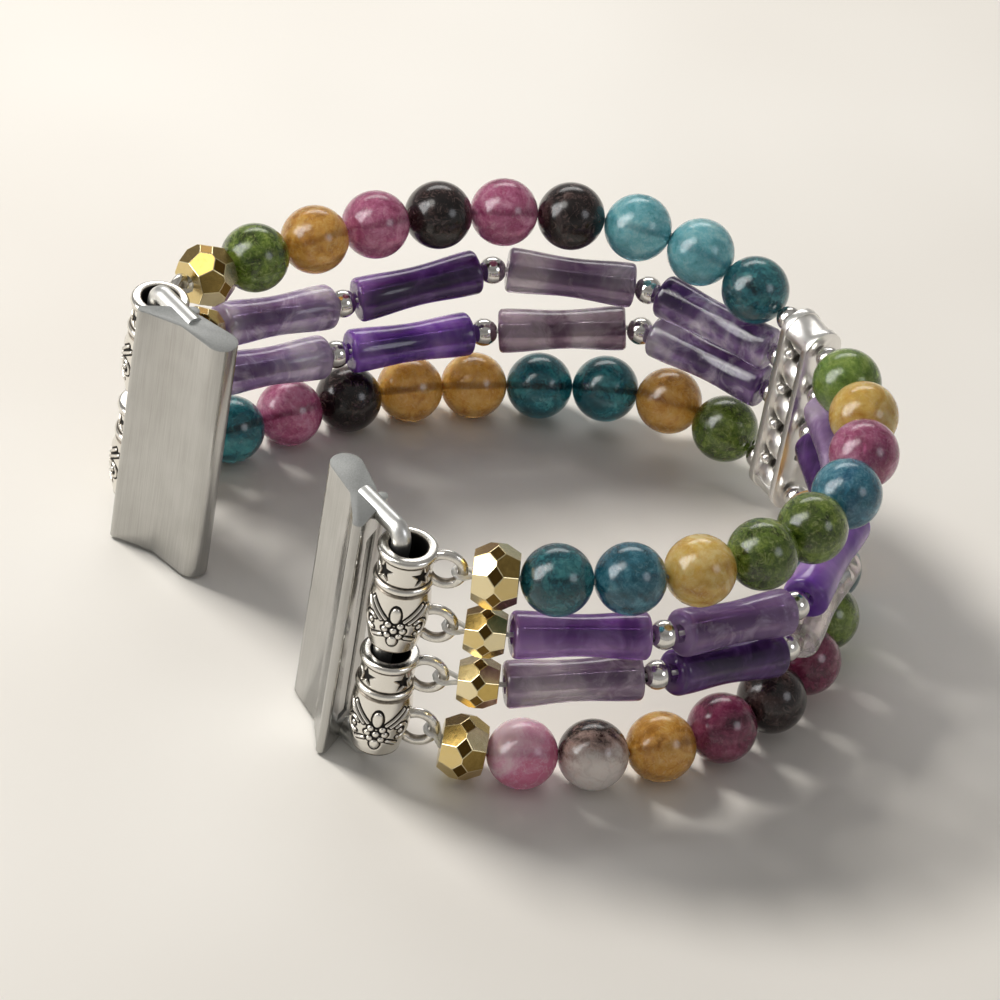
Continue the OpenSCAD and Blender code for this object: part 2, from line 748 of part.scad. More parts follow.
module right_adapter() { adapter(RIGHT); }
module left_adapter() { adapter(LEFT); }
module right_bar() { wire_bar(RIGHT); }
module left_bar() { wire_bar(LEFT); }

teal = [0.2, 0.5, 0.58];
yellow = [0.85, 0.66, 0.3];
green = [0.4, 0.56, 0.2];
pink = [0.75, 0.4, 0.55];
brown = [0.24, 0.17, 0.15];

right_adapter();
left_adapter();
right_bar();
left_bar();
spacer_bar();
bail(RIGHT, 0);  // right_bail_1
bail(RIGHT, 1);  // right_bail_2
bail(RIGHT, 2);  // right_bail_3
bail(RIGHT, 3);  // right_bail_4
bail(LEFT, 0);  // left_bail_1
bail(LEFT, 1);  // left_bail_2
bail(LEFT, 2);  // left_bail_3
bail(LEFT, 3);  // left_bail_4
cord(0);  // cord_1
cord(1);  // cord_2
cord(2);  // cord_3
cord(3);  // cord_4
rondelle(RIGHT, 0);  // right_rondelle_1
rondelle(RIGHT, 1);  // right_rondelle_2
rondelle(RIGHT, 2);  // right_rondelle_3
rondelle(RIGHT, 3);  // right_rondelle_4
rondelle(LEFT, 0);  // left_rondelle_1
rondelle(LEFT, 1);  // left_rondelle_2
rondelle(LEFT, 2);  // left_rondelle_3
rondelle(LEFT, 3);  // left_rondelle_4
stone_tube(RIGHT, 1, 1);  // right_upper_tube_1
stone_tube(RIGHT, 1, 2);  // right_upper_tube_2
stone_tube(RIGHT, 1, 3);  // right_upper_tube_3
stone_tube(RIGHT, 1, 4);  // right_upper_tube_4
stone_tube(RIGHT, 2, 1);  // right_lower_tube_1
stone_tube(RIGHT, 2, 2);  // right_lower_tube_2
stone_tube(RIGHT, 2, 3);  // right_lower_tube_3
stone_tube(RIGHT, 2, 4);  // right_lower_tube_4
stone_tube(LEFT, 1, 1);  // left_upper_tube_1
stone_tube(LEFT, 1, 2);  // left_upper_tube_2
stone_tube(LEFT, 1, 3);  // left_upper_tube_3
stone_tube(LEFT, 1, 4);  // left_upper_tube_4
stone_tube(LEFT, 2, 1);  // left_lower_tube_1
stone_tube(LEFT, 2, 2);  // left_lower_tube_2
stone_tube(LEFT, 2, 3);  // left_lower_tube_3
stone_tube(LEFT, 2, 4);  // left_lower_tube_4
silver_balls(0);  // silver_balls_1
silver_balls(1);  // silver_balls_2
silver_balls(2);  // silver_balls_3
silver_balls(3);  // silver_balls_4
color(teal) top_beads(TEAL);  // top_teal_beads
color(yellow) top_beads(YELLOW);  // top_yellow_beads
color(green) top_beads(GREEN);  // top_green_beads
color(pink) top_beads(PINK);  // top_pink_beads
color(brown) top_beads(BROWN);  // top_brown_beads
color(teal) base_beads(TEAL);  // base_teal_beads
color(yellow) base_beads(YELLOW);  // base_yellow_beads
color(green) base_beads(GREEN);  // base_green_beads
color(pink) base_beads(PINK);  // base_pink_beads
color(brown) base_beads(BROWN);  // base_brown_beads
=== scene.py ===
"""Looks of a beaded elastic watch band: stones, gilt rondelles, cast bails, steel lugs.

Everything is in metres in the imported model's own frame: the band stands on its edge,
+Z along the wrist's axis, +Y from the watch towards the spacer bar. Sizes in the
classes are in millimetres.
"""

import json
import logging
import math
import random
from dataclasses import dataclass
from enum import Enum

import bmesh
import bpy
import numpy as np
from mathutils import Matrix, Vector

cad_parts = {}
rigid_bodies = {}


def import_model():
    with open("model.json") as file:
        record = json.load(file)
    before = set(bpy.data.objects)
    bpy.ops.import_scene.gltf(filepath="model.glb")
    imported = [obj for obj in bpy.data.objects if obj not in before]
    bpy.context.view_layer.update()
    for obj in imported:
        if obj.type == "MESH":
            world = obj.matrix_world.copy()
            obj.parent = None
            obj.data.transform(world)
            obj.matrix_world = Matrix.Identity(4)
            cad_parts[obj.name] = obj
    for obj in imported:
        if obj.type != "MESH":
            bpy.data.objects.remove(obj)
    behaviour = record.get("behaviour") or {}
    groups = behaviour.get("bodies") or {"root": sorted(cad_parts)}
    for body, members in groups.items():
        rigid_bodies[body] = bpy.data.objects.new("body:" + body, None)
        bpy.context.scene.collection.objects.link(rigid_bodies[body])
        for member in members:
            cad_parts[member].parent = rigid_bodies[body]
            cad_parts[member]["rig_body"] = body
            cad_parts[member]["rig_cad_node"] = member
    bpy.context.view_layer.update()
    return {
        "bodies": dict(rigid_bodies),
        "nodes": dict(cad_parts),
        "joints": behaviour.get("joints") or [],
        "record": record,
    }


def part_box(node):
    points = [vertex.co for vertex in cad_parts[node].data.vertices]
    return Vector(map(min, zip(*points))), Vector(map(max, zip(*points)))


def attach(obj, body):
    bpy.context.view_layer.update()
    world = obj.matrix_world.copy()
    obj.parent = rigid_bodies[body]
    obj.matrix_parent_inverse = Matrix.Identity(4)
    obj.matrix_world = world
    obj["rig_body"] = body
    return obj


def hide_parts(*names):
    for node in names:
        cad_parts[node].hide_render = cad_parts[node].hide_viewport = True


LOG = logging.getLogger("watch_band")
MM = 0.001
UP = Vector((0.0, 0.0, 1.0))


# ---------------------------------------------------------------- small helpers


def linear(hex_colour: str) -> tuple[float, float, float, float]:
    """Turns an sRGB hex colour into linear RGBA.

    Args:
        hex_colour: Six hex digits, with or without a leading #.

    Returns:
        Linear red, green, blue and an alpha of 1.
    """
    digits = hex_colour.lstrip("#")
    parts = [int(digits[i:i + 2], 16) / 255 for i in (0, 2, 4)]
    red, green, blue = (
        p / 12.92 if p <= 0.04045 else ((p + 0.055) / 1.055) ** 2.4 for p in parts
    )
    return red, green, blue, 1.0


def per_mm(size_mm: float) -> float:
    """Gives the texture scale at which one feature of a pattern is size_mm wide."""
    return 1.0 / (size_mm * MM)


def select_only(piece: bpy.types.Object) -> None:
    """Deselects everything and makes piece the selected, active object."""
    bpy.ops.object.select_all(action="DESELECT")
    piece.select_set(True)
    bpy.context.view_layer.objects.active = piece


def apply_modifiers(piece: bpy.types.Object) -> None:
    """Applies every modifier of piece in order."""
    select_only(piece)
    for modifier in list(piece.modifiers):
        bpy.ops.object.modifier_apply(modifier=modifier.name)


def smooth(piece: bpy.types.Object, angle: float = 35.0) -> None:
    """Shades piece smooth, apart from edges sharper than angle in degrees."""
    select_only(piece)
    bpy.ops.object.shade_smooth_by_angle(angle=math.radians(angle))


def spun(name: str, profile: list[tuple[float, float]], steps: int) -> bpy.types.Object:
    """Turns a closed profile round the Z axis with the spin operator.

    Args:
        name: Name of the new object.
        profile: Points of radius and height in millimetres, once round the outline.
        steps: Faces round the axis.

    Returns:
        A closed object with its normals outside.
    """
    mesh = bpy.data.meshes.new(name)
    points = [(r * MM, 0.0, z * MM) for r, z in profile]
    count = len(points)
    mesh.from_pydata(points, [(i, (i + 1) % count) for i in range(count)], [])
    piece = bpy.data.objects.new(name, mesh)
    bpy.context.scene.collection.objects.link(piece)
    select_only(piece)
    bpy.ops.object.mode_set(mode="EDIT")
    bpy.ops.mesh.select_all(action="SELECT")
    bpy.ops.mesh.spin(
        steps=steps, angle=math.tau, center=(0, 0, 0), axis=(0, 0, 1), dupli=False
    )
    bpy.ops.mesh.select_all(action="SELECT")
    bpy.ops.mesh.remove_doubles(threshold=0.002 * MM)
    bpy.ops.mesh.normals_make_consistent(inside=False)
    bpy.ops.object.mode_set(mode="OBJECT")
    return piece


def copied(template: bpy.types.Object, name: str, place: Matrix) -> bpy.types.Object:
    """Copies a template with its own mesh and bakes a placement into that mesh."""
    piece = template.copy()
    piece.data = template.data.copy()
    piece.name = name
    piece.data.name = name
    bpy.context.scene.collection.objects.link(piece)
    piece.data.transform(place)
    return piece


def merged_copy(node: bpy.types.Object, name: str) -> bpy.types.Object:
    """Copies a CAD node and welds its loose triangles into flat faces.

    Args:
        node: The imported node, which stays as it is.
        name: Name of the new object.

    Returns:
        The welded copy.
    """
    piece = node.copy()
    piece.data = node.data.copy()
    piece.name = name
    piece.data.name = name
    piece.parent = None
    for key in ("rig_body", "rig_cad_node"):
        if key in piece:
            del piece[key]
    bpy.context.scene.collection.objects.link(piece)
    select_only(piece)
    if piece.data.has_custom_normals:
        bpy.ops.mesh.customdata_custom_splitnormals_clear()
    bpy.ops.object.mode_set(mode="EDIT")
    bpy.ops.mesh.select_all(action="SELECT")
    bpy.ops.mesh.remove_doubles(threshold=0.0005 * MM)
    bpy.ops.mesh.dissolve_limited(angle_limit=math.radians(0.4))
    bpy.ops.object.mode_set(mode="OBJECT")
    return piece


def joined(pieces: list[bpy.types.Object], name: str) -> bpy.types.Object:
    """Joins pieces into one object of the given name."""
    select_only(pieces[0])
    for piece in pieces:
        piece.select_set(True)
    bpy.ops.object.join()
    pieces[0].name = name
    pieces[0].data.name = name
    return pieces[0]


def bevelled(piece: bpy.types.Object, width: float, segments: int, angle: float) -> None:
    """Rounds the edges of piece that are sharper than an angle.

    Args:
        piece: The object to round.
        width: Width of the rounding in millimetres.
        segments: Faces across the rounding.
        angle: Least angle of a rounded edge in degrees.
    """
    modifier = piece.modifiers.new("edge rounding", "BEVEL")
    modifier.width = width * MM
    modifier.segments = segments
    modifier.limit_method = "ANGLE"
    modifier.angle_limit = math.radians(angle)
    modifier.harden_normals = False
    apply_modifiers(piece)


def attribute(piece: bpy.types.Object, name: str, values: np.ndarray) -> None:
    """Writes one number per vertex into a named attribute that a material reads."""
    layer = piece.data.attributes.new(name, "FLOAT", "POINT")
    layer.data.foreach_set("value", values.astype(np.float32))


def coordinates(piece: bpy.types.Object) -> np.ndarray:
    """Gives the vertices of piece in millimetres, one row each."""
    flat = np.empty(len(piece.data.vertices) * 3, np.float32)
    piece.data.vertices.foreach_get("co", flat)
    return flat.reshape(-1, 3).astype(float) / MM


def move_vertices(piece: bpy.types.Object, places: np.ndarray) -> None:
    """Puts the vertices of piece at the given places in millimetres."""
    piece.data.vertices.foreach_set("co", (places * MM).astype(np.float32).ravel())
    piece.data.update()


def smoothstep(low: float, high: float, values: np.ndarray) -> np.ndarray:
    """Rises from 0 at low to 1 at high with a soft start and end."""
    t = np.clip((values - low) / (high - low), 0.0, 1.0)
    return t * t * (3.0 - 2.0 * t)


# -------------------------------------------------------------------- materials


class Shader:
    """A material under construction, with one call that adds a node."""

    def __init__(self, name: str) -> None:
        """Starts an empty node material of the given name."""
        self.material = bpy.data.materials.new(name)
        self.material.use_nodes = True
        self.tree = self.material.node_tree
        self.tree.nodes.clear()

    def add(self, kind: str, settings: dict | None = None, **inputs: object) -> bpy.types.Node:
        """Adds a node with its settings, values and links.

        Args:
            kind: Node type after ShaderNode, such as TexNoise.
            settings: Properties of the node.
            **inputs: Socket names with _ for a space, or _0, _1 for an index, and
                either a value or the output socket that feeds them.

        Returns:
            The new node.
        """
        node = self.tree.nodes.new("ShaderNode" + kind)
        for key, value in (settings or {}).items():
            setattr(node, key, value)
        for key, value in inputs.items():
            socket = (
                node.inputs[int(key[1:])]
                if key[0] == "_"
                else node.inputs[key.replace("_", " ")]
            )
            if isinstance(value, bpy.types.NodeSocket):
                self.tree.links.new(value, socket)
            else:
                socket.default_value = value
        return node

    def ramp(self, factor: bpy.types.NodeSocket, stops: list[tuple[float, str]]) -> bpy.types.NodeSocket:
        """Adds a colour ramp through hex colours and returns its colour socket."""
        node = self.add("ValToRGB", Fac=factor)
        elements = node.color_ramp.elements
        while len(elements) < len(stops):
            elements.new(0.5)
        for element, (place, colour) in zip(elements, stops):
            element.position = place
            element.color = linear(colour)
        return node.outputs["Color"]

    def finish(self, shader: bpy.types.Node) -> bpy.types.Material:
        """Links the surface shader to the output and returns the material."""
        self.add("OutputMaterial", Surface=shader.outputs[0])
        return self.material


@dataclass(frozen=True)
class PolishedStone:
    """Dyed jade or agate, tumbled and polished: cloudy, sugary, glossy and lit within."""

    name: str
    deep: str
    body: str
    light: str
    vein: str
    glow: float = 0.5
    clear: float = 0.5
    cloud_mm: float = 3.4
    grain_mm: float = 0.6
    grain_share: float = 0.4
    vein_share: float = 0.3
    contrast: float = 0.13
    seam: tuple[float, float, float] = (0.0, 0.0, 1.0)
    zone_and_lit_side_share: float = 0.0

    def material(self) -> bpy.types.Material:
        """Builds the stone's material.

        Returns:
            A material with clouds about cloud_mm wide, sugary grain and thin veins.
        """
        s = Shader(self.name)
        place = s.add("TexCoord").outputs["Object"]
        cloud = s.add(
            "TexNoise", Vector=place, Scale=per_mm(self.cloud_mm), Detail=3.0,
            Roughness=0.55, Distortion=1.1,
        ).outputs["Fac"]
        # The crystals of jade are fine as sugar, and each takes the dye a little apart.
        grain = s.add(
            "TexNoise", Vector=place, Scale=per_mm(self.grain_mm), Detail=6.0,
            Roughness=0.72, Distortion=0.8,
        ).outputs["Fac"]
        shade = s.add(
            "Mix", {"data_type": "FLOAT"}, Factor=self.grain_share, _2=cloud, _3=grain
        ).outputs[0]
        # A gradient from one side of the bead to the other. On the milky bead it is the stone's own dark
        # and milky halves; on the blush bead it is painted light, paler on the side that faces the key
        # lamp.
        if self.zone_and_lit_side_share:
            side = s.add("Attribute", {"attribute_name": "seam"}).outputs["Fac"]
            shade = s.add(
                "Math", {"operation": "MULTIPLY_ADD"}, _0=side, _1=self.zone_and_lit_side_share, _2=shade
            ).outputs[0]
        body = s.ramp(shade, [
            (0.5 - self.contrast, self.deep), (0.5, self.body), (0.5 + self.contrast, self.light)
        ])
        # Fibres and healed cracks: dyed stone takes more dye along them.
        fibre = s.add(
            "TexNoise", Vector=place, Scale=per_mm(1.3), Detail=6.0, Roughness=0.7,
            Distortion=2.4,
        ).outputs["Fac"]
        fibre = s.add("MapRange", _0=fibre, _1=0.52, _2=0.66).outputs["Result"]
        fibre = s.add(
            "Math", {"operation": "MULTIPLY"}, _0=fibre, _1=self.vein_share
        ).outputs[0]
        veined = s.add(
            "Mix", {"data_type": "RGBA"}, Factor=fibre, _6=body, _7=linear(self.vein)
        ).outputs[2]
        bent = s.add(
            "Mix", {"data_type": "VECTOR"}, Factor=0.0018, _4=place,
            _5=s.add("TexNoise", Vector=place, Scale=per_mm(1.2)).outputs["Color"],
        ).outputs[1]
        crack = s.add(
            "TexVoronoi", {"feature": "DISTANCE_TO_EDGE"}, Vector=bent, Scale=per_mm(2.6)
        ).outputs["Distance"]
        crack = s.add("MapRange", _0=crack, _1=0.0, _2=0.09, _3=0.12, _4=0.0)
        colour = s.add(
            "Mix", {"data_type": "RGBA"}, Factor=crack.outputs["Result"], _6=veined,
            _7=linear(self.deep),
        ).outputs[2]
        bump = s.add("Bump", Strength=0.05, Distance=0.05 * MM, Height=fibre)
        # The polish is a thin glossy skin, and below it light spreads and passes through.
        return s.finish(s.add(
            "BsdfPrincipled", Base_Color=colour, Roughness=0.2, IOR=1.5,
            Specular_IOR_Level=0.3,
            Transmission_Weight=self.clear, Subsurface_Weight=self.glow,
            Subsurface_Radius=(1.0, 0.8, 0.7), Subsurface_Scale=2.2 * MM,
            Coat_Weight=0.4, Coat_Roughness=0.18, Normal=bump.outputs["Normal"],
        ))


class Stone(Enum):
    """The stones of the round beads, each with its own dye and clouding."""

    DARK_TEAL = PolishedStone(
        "dark_teal_jade", "#06303C", "#16606E", "#4D9EA2", "#8ACAC4", clear=0.62
    )
    SEA_BLUE = PolishedStone("sea_blue_jade", "#10414F", "#296E84", "#64A3B4", "#A0CCD6")
    BLUE_TEAL = PolishedStone(
        "blue_teal_jade", "#1B5468", "#377F99", "#78B3C4", "#A6CFD8", grain_share=0.55
    )
    PALE_TEAL = PolishedStone("pale_teal_jade", "#4896A2", "#72B9C6", "#A6D6DC", "#CCE8EA")
    HONEY = PolishedStone(
        "honey_jade", "#BC8C34", "#DDBB60", "#EDD99A", "#F5E8C0", 0.6, 0.4, 4.0,
        grain_share=0.25,
    )
    AMBER = PolishedStone("amber_jade", "#A06A22", "#D4A048", "#EAC270", "#F2DAA4", 0.6, vein_share=0.45)
    OLIVE = PolishedStone(
        "olive_jade", "#263008", "#567020", "#92A84A", "#C0CC84", grain_share=0.5,
        vein_share=0.55, contrast=0.11,
    )
    SPRING = PolishedStone("spring_green_jade", "#47691E", "#739238", "#A8BF66", "#C9D79A")
    ROSE = PolishedStone("rose_jade", "#8A325C", "#B8648C", "#DCA8C2", "#ECCCDA")
    MAGENTA = PolishedStone("magenta_jade", "#4C1230", "#7C2F50", "#A25A78", "#C38CA2")
    # Painted light: this bead is painted paler on the side that faces the key lamp.
    BLUSH = PolishedStone(
        "blush_jade", "#D4749A", "#E0A4C0", "#F0D4E0", "#FAEEF2", 0.6, 0.35, 4.5,
        grain_share=0.3, seam=(-0.58, -0.52, 0.63), zone_and_lit_side_share=0.18,
    )
    BROWN = PolishedStone(
        "brown_black_jade", "#080404", "#1E1212", "#463432", "#8A7672", 0.2, 0.15,
        vein_share=0.4,
    )
    MILKY = PolishedStone(
        "milky_brown_jade", "#241410", "#B8A098", "#F2ECE8", "#E2BCB2", 0.5, 0.35, 5.0,
        grain_share=0.3, seam=(0.67, -0.38, -0.62), zone_and_lit_side_share=0.38,
    )


@dataclass(frozen=True)
class Amethyst:
    """Translucent quartz, ground and polished: purple zones, clear ends, milky veils."""

    name: str
    deep: str
    body: str
    pale: str
    clear: float
    zone_mm: float = 7.0
    milk: float = 0.45
    roughness: float = 0.13

    def material(self, axis: Vector) -> bpy.types.Material:
        """Builds the stone's material with its zones across the tube's axis.

        Args:
            axis: Direction of the tube.

        Returns:
            A glassy material whose colour varies along the axis.
        """
        s = Shader(self.name)
        place = s.add("TexCoord").outputs["Object"]
        # Growth zones: quartz is banded, and each band is nearly one colour.
        mapping = s.add("Mapping", {"vector_type": "TEXTURE"}, Vector=place)
        mapping.inputs["Rotation"].default_value = UP.rotation_difference(axis).to_euler()
        mapping.inputs["Scale"].default_value = (1.8, 1.8, 1.0)
        zone = s.add(
            "TexNoise", Vector=mapping.outputs["Vector"], Scale=per_mm(self.zone_mm),
            Detail=3.0, Roughness=0.5, Distortion=0.5,
        ).outputs["Fac"]
        body = s.ramp(zone, [(0.36, self.deep), (0.5, self.body), (0.64, self.pale)])
        # Veils: sheets of tiny bubbles that show as soft milky clouds.
        veil = s.add(
            "TexNoise", Vector=place, Scale=per_mm(3.6), Detail=4.0, Roughness=0.6,
            Distortion=0.9,
        ).outputs["Fac"]
        veil = s.add(
            "MapRange", _0=veil, _1=0.5, _2=0.68, _3=0.0, _4=self.milk
        ).outputs["Result"]
        colour = s.add(
            "Mix", {"data_type": "RGBA"}, Factor=veil, _6=body, _7=linear(self.pale)
        ).outputs[2]
        clearness = s.add(
            "MapRange", _0=veil, _1=0.0, _2=1.0, _3=self.clear, _4=self.clear * 0.4
        ).outputs["Result"]
        # The wheel leaves a long, shallow wave in the hand-ground wall.
        wave = s.add("TexNoise", Vector=place, Scale=per_mm(3.0), Detail=1.0)
        bump = s.add("Bump", Strength=0.25, Distance=0.12 * MM, Height=wave.outputs["Fac"])
        return s.finish(s.add(
            "BsdfPrincipled", Base_Color=colour, Roughness=self.roughness, IOR=1.54,
            Transmission_Weight=clearness, Subsurface_Weight=0.7,
            Subsurface_Radius=(0.8, 0.6, 1.0), Subsurface_Scale=2.4 * MM,
            Normal=bump.outputs["Normal"],
        ))


class Quartz(Enum):
    """The amethysts of the tubes, from deep purple to nearly clear."""

    VIVID = Amethyst("vivid_amethyst", "#502684", "#8250B4", "#B48ED4", 0.48, milk=0.3)
    PLUM = Amethyst("plum_amethyst", "#582C72", "#804C9E", "#B48CCA", 0.5, milk=0.35)
    PALE = Amethyst("pale_amethyst", "#84669A", "#B29DC2", "#E2DAE6", 0.55, 5.0, 0.6)
    DEEP = Amethyst("deep_amethyst", "#3A1E56", "#60397E", "#946EB2", 0.48, milk=0.3)
    LILAC = Amethyst("lilac_amethyst", "#7E5C92", "#A487B6", "#D8CAE0", 0.55)
    SMOKY = Amethyst("smoky_amethyst", "#6C4C74", "#957D9B", "#D0C4CC", 0.55, milk=0.6)
    STREAKED = Amethyst("streaked_amethyst", "#4C2868", "#8664A0", "#E8E0EE", 0.5, 4.0, 0.6)
    MAUVE = Amethyst("mauve_quartz", "#60405A", "#8A6C82", "#CBBCC6", 0.55, 5.0, 0.6)
    CLEAR = Amethyst("clear_quartz", "#D2C6C2", "#E2DAD6", "#F2EEEC", 0.9, milk=0.5, roughness=0.12)


@dataclass(frozen=True)
class GiltGlass:
    """Cut glass with a metallic gold coating: mirror facets, with painted reflections, browner on the
    rhombs of the belt and pale on the facet edges.
    """

    name: str = "gilt_cut_glass"
    gold: str = "#D2B66C"
    pale: str = "#F6EDCC"
    bronze: str = "#6B5225"

    def material(self) -> bpy.types.Material:
        """Builds the coating, whose colour per facet, painted reflections included, comes from the
        piece's attribute.
        """
        s = Shader(self.name)
        place = s.add("TexCoord").outputs["Object"]
        # The attribute holds random tints of the facets and painted reflections: dark on the belt's
        # rhombs, pale on the edges.
        tone_and_reflection = s.add("Attribute", {"attribute_name": "tone_and_reflection"}).outputs["Fac"]
        speck = s.add("TexNoise", Vector=place, Scale=per_mm(0.5), Detail=4.0).outputs["Fac"]
        mixed = s.add(
            "Math", {"operation": "MULTIPLY_ADD"}, _0=speck, _1=0.12, _2=tone_and_reflection
        ).outputs[0]
        colour = s.ramp(
            mixed, [(0.2, self.bronze), (0.5, self.gold), (1.0, self.pale)]
        )
        rough = s.add("MapRange", _0=speck, _1=0.3, _2=0.7, _3=0.2, _4=0.26)
        return s.finish(s.add(
            "BsdfPrincipled", Base_Color=colour, Metallic=1.0,
            Roughness=rough.outputs["Result"],
        ))


@dataclass(frozen=True)
class CastSilver:
    """Cast alloy, silver plated and blackened: bright high spots, black recesses."""

    name: str
    bright: str = "#E6E3DC"
    warm: str = "#A69C8E"
    black: str = "#0E0B09"
    roughness: float = 0.2

    def material(self) -> bpy.types.Material:
        """Builds the plated metal, which reads how deep each spot lies."""
        s = Shader(self.name)
        place = s.add("TexCoord").outputs["Object"]
        recess = s.add("Attribute", {"attribute_name": "recess"}).outputs["Fac"]
        # Blackening is rubbed off by hand, so its edge is uneven.
        rub = s.add("TexNoise", Vector=place, Scale=per_mm(0.45), Detail=5.0, Roughness=0.65)
        uneven = s.add(
            "Math", {"operation": "MULTIPLY_ADD"}, _0=rub.outputs["Fac"], _1=0.5, _2=-0.25
        ).outputs[0]
        depth = s.add("Math", {"operation": "ADD"}, _0=recess, _1=uneven).outputs[0]
        colour = s.ramp(
            depth, [(0.12, self.bright), (0.42, self.warm), (0.78, self.black)]
        )
        rough = s.add(
            "MapRange", _0=depth, _1=0.1, _2=0.8, _3=self.roughness, _4=0.6
        ).outputs["Result"]
        metal = s.add("MapRange", _0=depth, _1=0.3, _2=0.9, _3=1.0, _4=0.5)
        grain = s.add("TexNoise", Vector=place, Scale=per_mm(0.16), Detail=3.0)
        bump = s.add(
            "Bump", Strength=0.22, Distance=0.02 * MM, Height=grain.outputs["Fac"]
        )
        return s.finish(s.add(
            "BsdfPrincipled", Base_Color=colour, Metallic=metal.outputs["Result"],
            Roughness=rough, Normal=bump.outputs["Normal"],
        ))


@dataclass(frozen=True)
class PolishedMetal:
    """Metal finished by a wheel: even in colour, with hair-fine wipe marks along Z."""

    name: str
    colour: str
    shade: str
    roughness: float
    wipe_mm: float = 0.12
    stretch: float = 60.0

    def material(self) -> bpy.types.Material:
        """Builds the metal with marks wipe_mm wide, drawn coarser than they are."""
        s = Shader(self.name)
        place = s.add("TexCoord").outputs["Object"]
        mapping = s.add("Mapping", Vector=place)
        mapping.inputs["Scale"].default_value = (1.0, 1.0, 1.0 / self.stretch)
        wipe = s.add(
            "TexNoise", Vector=mapping.outputs["Vector"], Scale=per_mm(self.wipe_mm),
            Detail=3.0, Roughness=0.5,
        ).outputs["Fac"]
        # Handling leaves faint duller patches, a few millimetres wide.
        patch = s.add("TexNoise", Vector=place, Scale=per_mm(4.0), Detail=3.0).outputs["Fac"]
        mixed = s.add(
            "Mix", {"data_type": "FLOAT"}, Factor=0.35, _2=wipe, _3=patch
        ).outputs[0]
        colour = s.ramp(mixed, [(0.35, self.shade), (0.6, self.colour)])
        rough = s.add(
            "MapRange", _0=mixed, _1=0.35, _2=0.65, _3=self.roughness * 1.12,
            _4=self.roughness * 0.9,
        ).outputs["Result"]
        bump = s.add("Bump", Strength=0.03, Distance=0.01 * MM, Height=wipe)
        return s.finish(s.add(
            "BsdfPrincipled", Base_Color=colour, Metallic=1.0, Roughness=rough,
            Normal=bump.outputs["Normal"],
        ))


@dataclass(frozen=True)
class ClearElastic:
    """Drawn polyurethane cord: nearly clear, waxy, a little milky where it is tight."""

    name: str = "clear_elastic_cord"
    body: str = "#EDEEEC"
    milky: str = "#FAFAF8"

    def material(self) -> bpy.types.Material:
        """Builds the cord's waxy, half clear material."""
        s = Shader(self.name)
        place = s.add("TexCoord").outputs["Object"]
        haze = s.add("TexNoise", Vector=place, Scale=per_mm(0.8), Detail=3.0).outputs["Fac"]
        colour = s.ramp(haze, [(0.35, self.body), (0.65, self.milky)])
        return s.finish(s.add(
            "BsdfPrincipled", Base_Color=colour, Roughness=0.25, IOR=1.5,
            Transmission_Weight=0.4, Subsurface_Weight=0.6,
            Subsurface_Radius=(1.0, 1.0, 1.0), Subsurface_Scale=0.6 * MM,
        ))


@dataclass(frozen=True)
class Plaster:
    """Pale matt studio floor with a faint mottle."""

    name: str = "pale_floor"
    light: str = "#EEECE8"
    dark: str = "#E6E3DE"

    def material(self) -> bpy.types.Material:
        """Builds the floor's material."""
        s = Shader(self.name)
        place = s.add("TexCoord").outputs["Object"]
        mottle = s.add("TexNoise", Vector=place, Scale=per_mm(90), Detail=2.0).outputs["Fac"]
        colour = s.ramp(mottle, [(0.35, self.dark), (0.65, self.light)])
        return s.finish(s.add(
            "BsdfPrincipled", Base_Color=colour, Roughness=0.85,
            Specular_IOR_Level=0.2,
        ))


def dress(piece: bpy.types.Object, material: bpy.types.Material) -> None:
    """Gives every face of piece one material."""
    piece.data.materials.clear()
    piece.data.materials.append(material)


# ------------------------------------------------------------------ studio


@dataclass(frozen=True)
class Lamp:
    """One soft lamp that points at the band. Distance and size are in millimetres.

    mirrored: it shows in reflections. lights: it lights surfaces and throws shadows.
    """

    name: str
    direction: tuple[float, float, float]
    distance: float
    size: tuple[float, float]
    watts: float
    colour: str
    mirrored: bool = True
    lights: bool = True

    def hang(self) -> None:
        """Hangs the oval lamp."""
        data = bpy.data.lights.new(self.name, "AREA")
        data.shape = "ELLIPSE"
        data.size = self.size[0] * MM
        data.size_y = self.size[1] * MM
        data.energy = self.watts
        data.color = linear(self.colour)[:3]
        lamp = bpy.data.objects.new(self.name, data)
        away = Vector(self.direction).normalized()
        lamp.location = away * self.distance * MM + Vector((0, 0, 15 * MM))
        lamp.rotation_euler = away.to_track_quat("Z", "Y").to_euler()
        lamp.visible_glossy = lamp.visible_transmission = self.mirrored
        lamp.visible_diffuse = self.lights
        bpy.context.scene.collection.objects.link(lamp)


